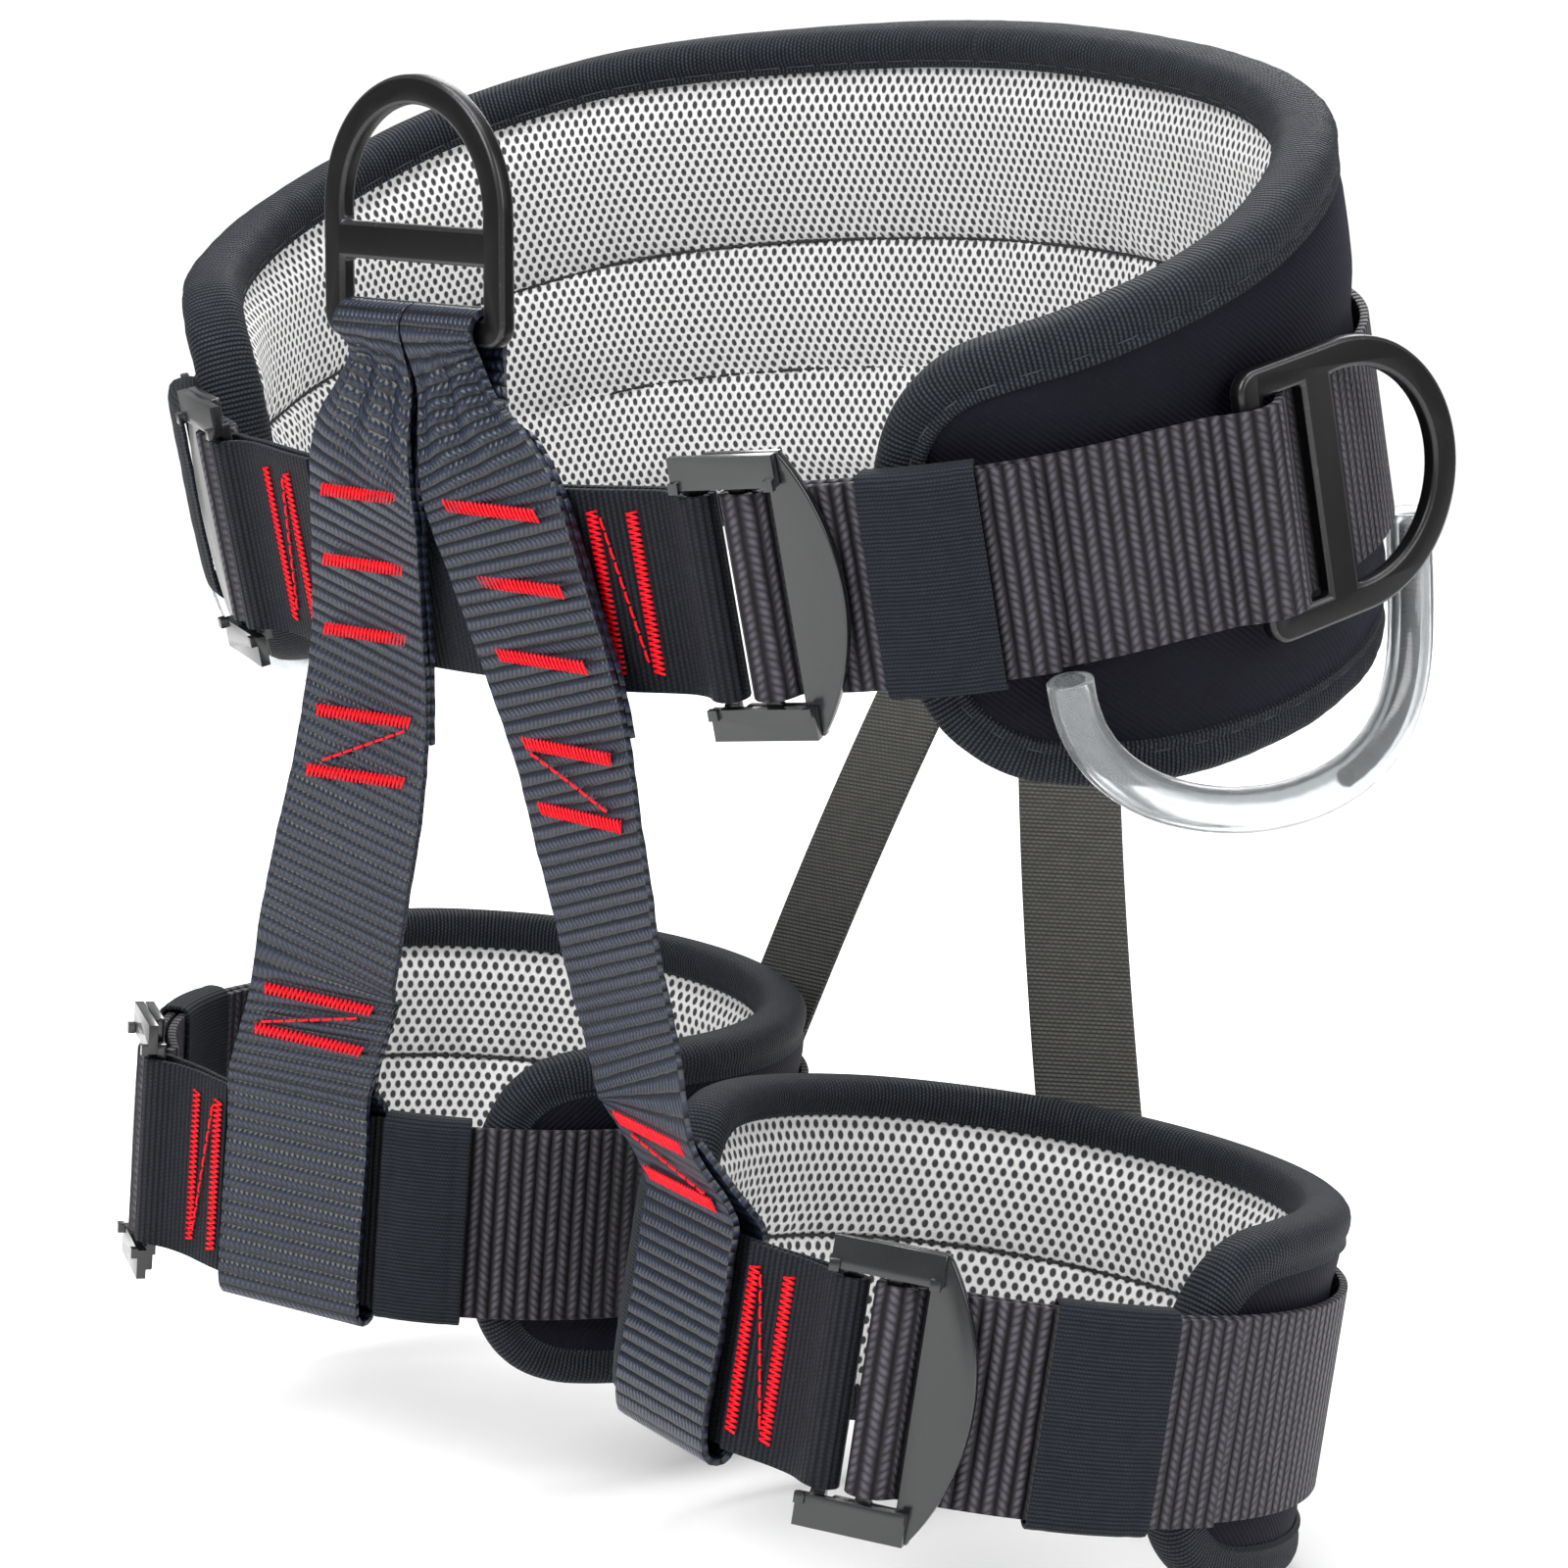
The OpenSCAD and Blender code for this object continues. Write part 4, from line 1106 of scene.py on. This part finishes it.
def leg_tape(side):
    place = leg_frame(side)

    def lay(u, v):
        i = round(u * LEG_TAPE_STEPS) % LEG_TAPE_STEPS
        j = round(v * LEG_TAPE_ROWS)
        into, out = leg_section[j]
        run, height = leg_ring[i] + leg_inward[i] * into * 0.88
        x, y = leg_plan(run / DEGREE_RUN, out)
        return place @ Vector((x, y, height)) * MM, (u * LEG_TAPE_LENGTH, leg_round[j] * MM)

    tape = laid_cloth(f"leg_binding_{side}_tape", LEG_TAPE_STEPS, LEG_TAPE_ROWS, lay)
    return finish_shape(tape, thick=TAPE_THICK, merge=True)


for side in "lr":
    body = f"leg_{side}"
    core = leg_layer(f"leg_foam_core_{side}", side, leg_core_out, CORE_INSET, 110, 14, LEG_CORE_THICK)
    core.data.materials.append(foam)
    lining = leg_layer(f"leg_mesh_lining_{side}_cloth", side, leg_lining_out, LINING_INSET, 240, 40,
                       LINING_THICK)
    lining.data.materials.append(leg_mesh)
    shell = leg_layer(f"leg_outer_shell_{side}", side, leg_shell_out, SHELL_INSET, 170, 32, SHELL_THICK,
                      offset=-1)
    shell.data.materials.append(neoprene)
    tape = leg_tape(side)
    tape.data.materials.append(binding_tape)
    place = leg_frame(side)

    def leg_quilt_spot(run, lift):
        x, y = leg_plan(run / DEGREE_RUN, LEG_QUILT_OUT - lift)
        row = 2 * LEG_QUILT_ROW[0] - 1
        return place @ Vector((x, y, row * (leg_half_height(run / DEGREE_RUN) - 2))) * MM

    quilt_lines = quilt_stitches(leg_quilt_spot, (LEG_FIRST + 5) * DEGREE_RUN, (LEG_LAST - 5) * DEGREE_RUN)
    quilting = thread_line(f"leg_quilting_{side}", quilt_lines, QUILT_THREAD)
    quilting.data.materials.append(black_thread)
    for piece, node, slot_name in ((core, "leg_pad_foam", "foam"), (lining, "leg_mesh_lining", "mesh"),
                                   (shell, "leg_pad_shell", "neoprene"), (tape, "leg_binding", "binding")):
        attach(piece, body)
        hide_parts(f"{node}_{side}")
    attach(quilting, body)


# ---- Leg webbing ----
# Charcoal webbing runs round each leg pad and through the leg buckle, where it doubles back
# as a tail. A sewn black webbing closes the loop in front, folded round the tongue's bar.
LEG_BUCKLE = 29
LEG_ROUND_THE_BAR = [
    (12, 3.9), (9, 4.1), (6.6, 4.2), (4.3, 5.0), (2.9, 7.4), (1.2, 9.3), (-1.3, 9.9), (-3.7, 9.0),
    (-4.8, 6.9), (-4.2, 4.3), (-2, 2.3), (3, 1.7),
]
LEG_TONGUE_FOLD = [
    (-17.4, 4.4), (-14, 8.4), (-11, 10.2), (-8.6, 9.2), (-7.7, 7.0), (-8.6, 4.8), (-11, 3.4), (-14, 1.8),
]
leg_web = [leg_plan(a, 4.6) for a in (84, 72, 60, 48)]
leg_web += [leg_beside(LEG_BUCKLE, along, out) for along, out in LEG_ROUND_THE_BAR]
leg_web += [leg_plan(a, 1.7) for a in range(37, 326, 9)]
leg_front = [leg_plan(a, out) for a, out in ((1.2, 3.5), (4, 3.5), (8, 3.5), (11.5, 3.9))]
leg_front += [leg_beside(LEG_BUCKLE, along, out) for along, out in LEG_TONGUE_FOLD]
leg_front += [leg_plan(a, 1.2) for a in range(12, -34, -5)]
for side in "lr":
    place = leg_frame(side)
    for name, line, thick, finish, slot_name in (
            ("leg_webbing", leg_web, WEB_THICK, load_webbing, "adjust_webbing"),
            ("leg_front_webbing", leg_front, SEWN_THICK, sewn_webbing, "sewn_webbing")):
        strip = woven_strip(f"{name}_{side}_band", place, standing(line), thick)
        strip.data.materials.append(finish)
        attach(strip, f"leg_{side}")
        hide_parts(f"{name}_{side}")
    keeper = sleeve(f"leg_keeper_{side}_elastic", place, 1, 52, 71, LEG_RADIUS + 0.1, 7.0)
    keeper.data.materials.append(elastic)
    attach(keeper, f"leg_keeper_{side}")
    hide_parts(f"leg_keeper_{side}")
    joint_cover = sleeve(f"leg_sleeve_{side}_elastic", place, 1, -46, -31.5, LEG_RADIUS - 1.6, 6.0)
    joint_cover.data.materials.append(elastic)
    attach(joint_cover, f"leg_{side}")
    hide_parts(f"leg_sleeve_{side}")


# ---- Tie straps ----
# Two ribbed load straps, navy black with a satin sheen. Each is gathered in and doubled over the
# front ring's bar, sewn to itself, and hangs down to a leg loop. There it goes round the loop's
# front webbing and is sewn to itself again.
STRAP_HALF = 19.75
RING_BAR = (-104, 31)
# front face of a strap: x, y, z, half width, turn in degrees, lean shared by both straps
STRAP_LINE = [
    (11.2, -106.8, 22, 11, 0, 1), (14, -108.2, 13, 13.7, -1, 2.5), (18, -108.4, 4, 17.7, -2, 4),
    (21, -107.6, -4, STRAP_HALF, -2.5, 5.5), (24, -105.4, -15, STRAP_HALF, -2, 6),
    (27, -102.2, -29, STRAP_HALF, -1, 6), (30.5, -99.6, -43, STRAP_HALF, 1, 6.5),
    (34, -98.2, -57, STRAP_HALF, 4, 7), (39.5, -97.2, -78, STRAP_HALF, 8, 6.5),
    (46.5, -95.2, -102, STRAP_HALF, 12, 4), (50.6, -93.5, -116, STRAP_HALF, 13.5, 2.5),
    (54.3, -92.5, -128, STRAP_HALF, 14.5, 1.5),
]
FOOT_ANGLE = -15
# out and up, from the top of the foot's back layer, down behind the webbing and up in front
FOOT_LINE = [
    (1.0, 29), (-3.7, 23.6), (-3.7, 0), (-3.7, -23.4), (-1.8, -26), (1.5, -26), (3.3, -23.4), (3.3, 0),
    (3.4, 20), (3.9, 26),
]
FOOT_TOP = {"l": (-8, 12.9, 41), "r": (-9, 9.2, 52.5)}


def strap_station(i, k, behind):
    """Centre and half-width vector of a strap at a station, a given way behind its front face."""
    x, y, z, half, turn, lean = STRAP_LINE[i]
    first, last = STRAP_LINE[max(i - 1, 0)], STRAP_LINE[min(i + 1, len(STRAP_LINE) - 1)]
    dx, dz = last[0] - first[0], last[2] - first[2]
    size = math.hypot(dx, dz)
    angle = math.radians(turn)
    across = Vector((-dz / size * math.cos(angle), -math.sin(angle), dx / size)).normalized() * half
    back = Vector((math.sin(angle), math.cos(angle), 0)) * behind
    centre = Vector((x + k * lean, y, z)) + back
    return [k * centre.x, centre.y, centre.z, k * across.x, across.y, across.z]


def foot_stations(side):
    """Up from the back layer's end, round the leg loop's webbing and up its front, in the belt's frame."""
    across_top, out_top, top = FOOT_TOP[side]
    line = [(across_top, out_top - 1.9, top)] + [(0, out, z) for out, z in FOOT_LINE]
    line.append((across_top, out_top, top))
    place = leg_frame(side)
    turn = math.radians(FOOT_ANGLE)
    half = place.to_3x3() @ Vector((math.cos(turn), math.sin(turn), 0)) * STRAP_HALF
    stations = []
    for along, out, z in line:
        x, y = leg_beside(FOOT_ANGLE, along, out)
        stations.append((*(place @ Vector((x, y, z))), *half))
    return stations


def strap_stations(side, k):
    """From the foot up the front, round the ring's bar, and down behind as far as the sewing."""
    last = len(STRAP_LINE) - 1 if side == "l" else len(STRAP_LINE) - 2
    line = foot_stations(side) + [strap_station(i, k, 0.75) for i in range(last, -1, -1)]
    for turn in range(0, 181, 30):
        angle = math.radians(turn)
        line.append([k * 11.4, RING_BAR[0] - math.cos(angle) * 4.85, RING_BAR[1] + math.sin(angle) * 4.85,
                     k * 11.1, 0, 0])
    line.append([k * (11.3 + k), -100.4, 22, k * 11.1, 0, 0])
    line.append([k * (14 + 2.5 * k), -104.2, 13, k * 13.2, 0, 0])
    return line + [strap_station(i, k, 2.45) for i in range(2, 8)]


def gathers(height, w):
    """Pleats where the strap is drawn in to pass over the ring's bar."""
    near = math.exp(-((height - 16) / 13) ** 2) * (1 - math.exp(-((height - 36) / 9) ** 2))
    return 1.1 * near * math.cos(2.6 * math.pi * w + 0.6) + 0.25 * hash_wave(height * 0.7, 2) * (height < 0)


strap_webbing = woven_finish("navy black strap webbing", (0.0004, 0.0006, 0.0016), (0.013, 0.020, 0.044),
                             2.9, 1.5, 0.5, 0.6, 0.36, 0.42, (0.45, 0.6, 1.0))
# where the strap would start and stop turning with the leg loop; nothing below uses these places, and the
# strap does not turn
STRAP_TURN = {"l": ((0.0510, -0.0935, -0.117), (0.0565, -0.0915, -0.134)),
              "r": ((-0.0455, -0.0945, -0.104), (-0.0500, -0.0930, -0.1215))}
for side, k in (("l", 1), ("r", -1)):
    strap = woven_strip(f"tie_strap_{side}_webbing", Matrix.Identity(4), strap_stations(side, k), SEWN_THICK,
                        rows=16, edge=0.3, folds=gathers)
    strap.data.materials.append(strap_webbing)
    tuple(STRAP_TURN[side][0])
    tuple(STRAP_TURN[side][1])
    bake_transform(strap)
    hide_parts(f"tie_strap_{side}", f"strap_foot_{side}")


# ---- Red stitching of the tie straps ----
# Three short bar tacks lie across each strap below the ring, and an N of tacks below them
# holds both layers together.
def strap_stitch_spot(k):
    heights = np.array([row[2] for row in reversed(STRAP_LINE)])
    columns = np.array([[row[0] + k * row[5], row[1], row[4]] for row in reversed(STRAP_LINE)])

    def spot(height, across, lift):
        x, y, turn = (float(np.interp(height, heights, columns[:, n])) for n in range(3))
        angle = math.radians(turn)
        x += across * math.cos(angle) - (0.35 + lift) * math.sin(angle)
        y -= across * math.sin(angle) + (0.35 + lift) * math.cos(angle)
        return Vector((k * x, y, height)) * MM

    return spot


for side, k in (("l", 1), ("r", -1)):
    spot = strap_stitch_spot(k)
    lines = [bar_tack(spot, (z, -14), (z, 14)) for z in (-6, -22, -38)]
    lines += stitched_n(spot, (-57, -71), 15, (-59, -69.5), rise=-1)
    stitching = thread_line(f"strap_stitching_{side}_thread", lines, THREAD_RADIUS)
    stitching.data.materials.append(red_thread)
    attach(stitching, "waist")
    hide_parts(f"strap_stitching_{side}")


# ---- Red stitching of the leg loops ----
# An N of tacks closes each strap round its leg loop, and a taller N closes the fold of the
# front webbing round the buckle tongue's bar.
def foot_stitch_spot(side):
    across_top, out_top, top = FOOT_TOP[side]
    place = leg_frame(side)

    def spot(height, across, lift):
        share = (height - 26) / (top - 26)
        x, y = leg_beside(FOOT_ANGLE, across_top * share + across, 5.1 + (out_top - 3.9) * share + lift)
        return place @ Vector((x, y, height)) * MM

    return spot


def leg_front_stitch_spot(side):
    place = leg_frame(side)

    def spot(angle_run, height, lift):
        x, y = leg_plan(angle_run / DEGREE_RUN, 4.6 + lift)
        return place @ Vector((x, y, height)) * MM

    return spot


for side in "lr":
    top = FOOT_TOP[side][2]
    lines = stitched_n(foot_stitch_spot(side), (top - 13, top - 2.5), 15, (top - 11, top - 4.5))
    lines += stitched_n(leg_front_stitch_spot(side), (3.2 * DEGREE_RUN, 10 * DEGREE_RUN), 18,
                        (4.6 * DEGREE_RUN, 9 * DEGREE_RUN))
    stitching = thread_line(f"leg_stitching_{side}_thread", lines, THREAD_RADIUS)
    stitching.data.materials.append(red_thread)
    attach(stitching, f"leg_{side}")
    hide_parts(f"leg_stitching_{side}")


# ---- Risers ----
# Grey elastic tape 25 mm wide, with fine ribs along its length. It is sewn inside the back of the belt and
# holds up the back of each leg loop. Here each is laid once between its two ends with a slight sag, fixed in
# place, and does not stretch as the loop tips.
RISER_HALF = 12.5
RISER_THICK = 1.3
RISERS = {"l": ((6, 94, -32), (51, 57, -174), 24, 34), "r": ((-19, 94, -32), (-68, 62, -166), 0, -4)}
riser_elastic = woven_finish("grey riser elastic", (0.028, 0.028, 0.026), (0.105, 0.103, 0.095),
                             1.0, 1.4, 0.3, 0.2, 0.75, 0.2)
for side, (top, bottom, turn_top, turn_bottom) in RISERS.items():
    stations = []
    for k in range(9):
        t = k / 8
        turn = math.radians(turn_top * (1 - t) + turn_bottom * t)
        sag = 3 * math.sin(math.pi * t)
        spot = [a * (1 - t) + b * t for a, b in zip(top, bottom)]
        half = (RISER_HALF * math.cos(turn), RISER_HALF * math.sin(turn), 0)
        stations.append((spot[0], spot[1] - sag, spot[2], *half))
    tape = woven_strip(f"riser_{side}_elastic", Matrix.Identity(4), stations, RISER_THICK, step=2.0, edge=0.3)
    tape.data.materials.append(riser_elastic)
    Vector(top) * MM
    Vector(bottom) * MM
    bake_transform(tape)
    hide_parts(f"riser_{side}")


# ---- Floor, light and camera ----
# A plain pale floor just under the hanging saddle, with four large soft lights and a white
# surround. The camera stands in front, to the wearer's left, a little higher than the belt.
floor_height = cad_low.z - 0.004
bpy.ops.mesh.primitive_plane_add(size=2.6, location=(0, 0, floor_height))
floor = bpy.context.object
floor.name = "floor"
floor_paint, floor_surface, floor_mottle, _ = start_finish("pale floor", 0.85, 2)
put(floor_mottle.mix((0.88, 0.88, 0.88), (0.91, 0.91, 0.91)), floor_surface.inputs["Base Color"])
floor.data.materials.append(floor_paint)


def soft_light(name, place, size, power, aim=(0, 0, -0.09)):
    light = bpy.data.lights.new(name, "AREA")
    light.size = size
    light.energy = power
    lamp = bpy.data.objects.new(name, light)
    lamp.location = place
    lamp.rotation_euler = (Vector(aim) - Vector(place)).to_track_quat("-Z", "Y").to_euler()
    bpy.context.scene.collection.objects.link(lamp)


soft_light("key", (-0.1, -1.7, 1.25), 1.2, 44)
soft_light("fill", (1.9, 0.3, 0.9), 1.4, 26)
soft_light("overhead", (0, 0.1, 1.9), 1.6, 46)
soft_light("back", (-1.1, 1.5, 1.1), 1.0, 20)
sky = bpy.data.worlds.new("studio")
sky.use_nodes = True
seen = add_node(sky.node_tree, "ShaderNodeLightPath", {}, "Is Camera Ray")
set_inputs(sky.node_tree.nodes["Background"], {"Color": (1, 1, 1), "Strength": seen * 0.65 + 0.4})
bpy.context.scene.world = sky

lens = bpy.data.cameras.new("camera")
lens.lens = 123.75
lens.sensor_width = 36
lens.clip_start = 0.05
camera = bpy.data.objects.new("camera", lens)
camera.location = (0.8869, -0.8514, 0.1253)
camera.rotation_euler = (Vector((0, 0.005, -0.081)) - camera.location).to_track_quat("-Z", "Y").to_euler()
bpy.context.scene.collection.objects.link(camera)
bpy.context.scene.camera = camera
bpy.context.scene.view_settings.view_transform = "Standard"
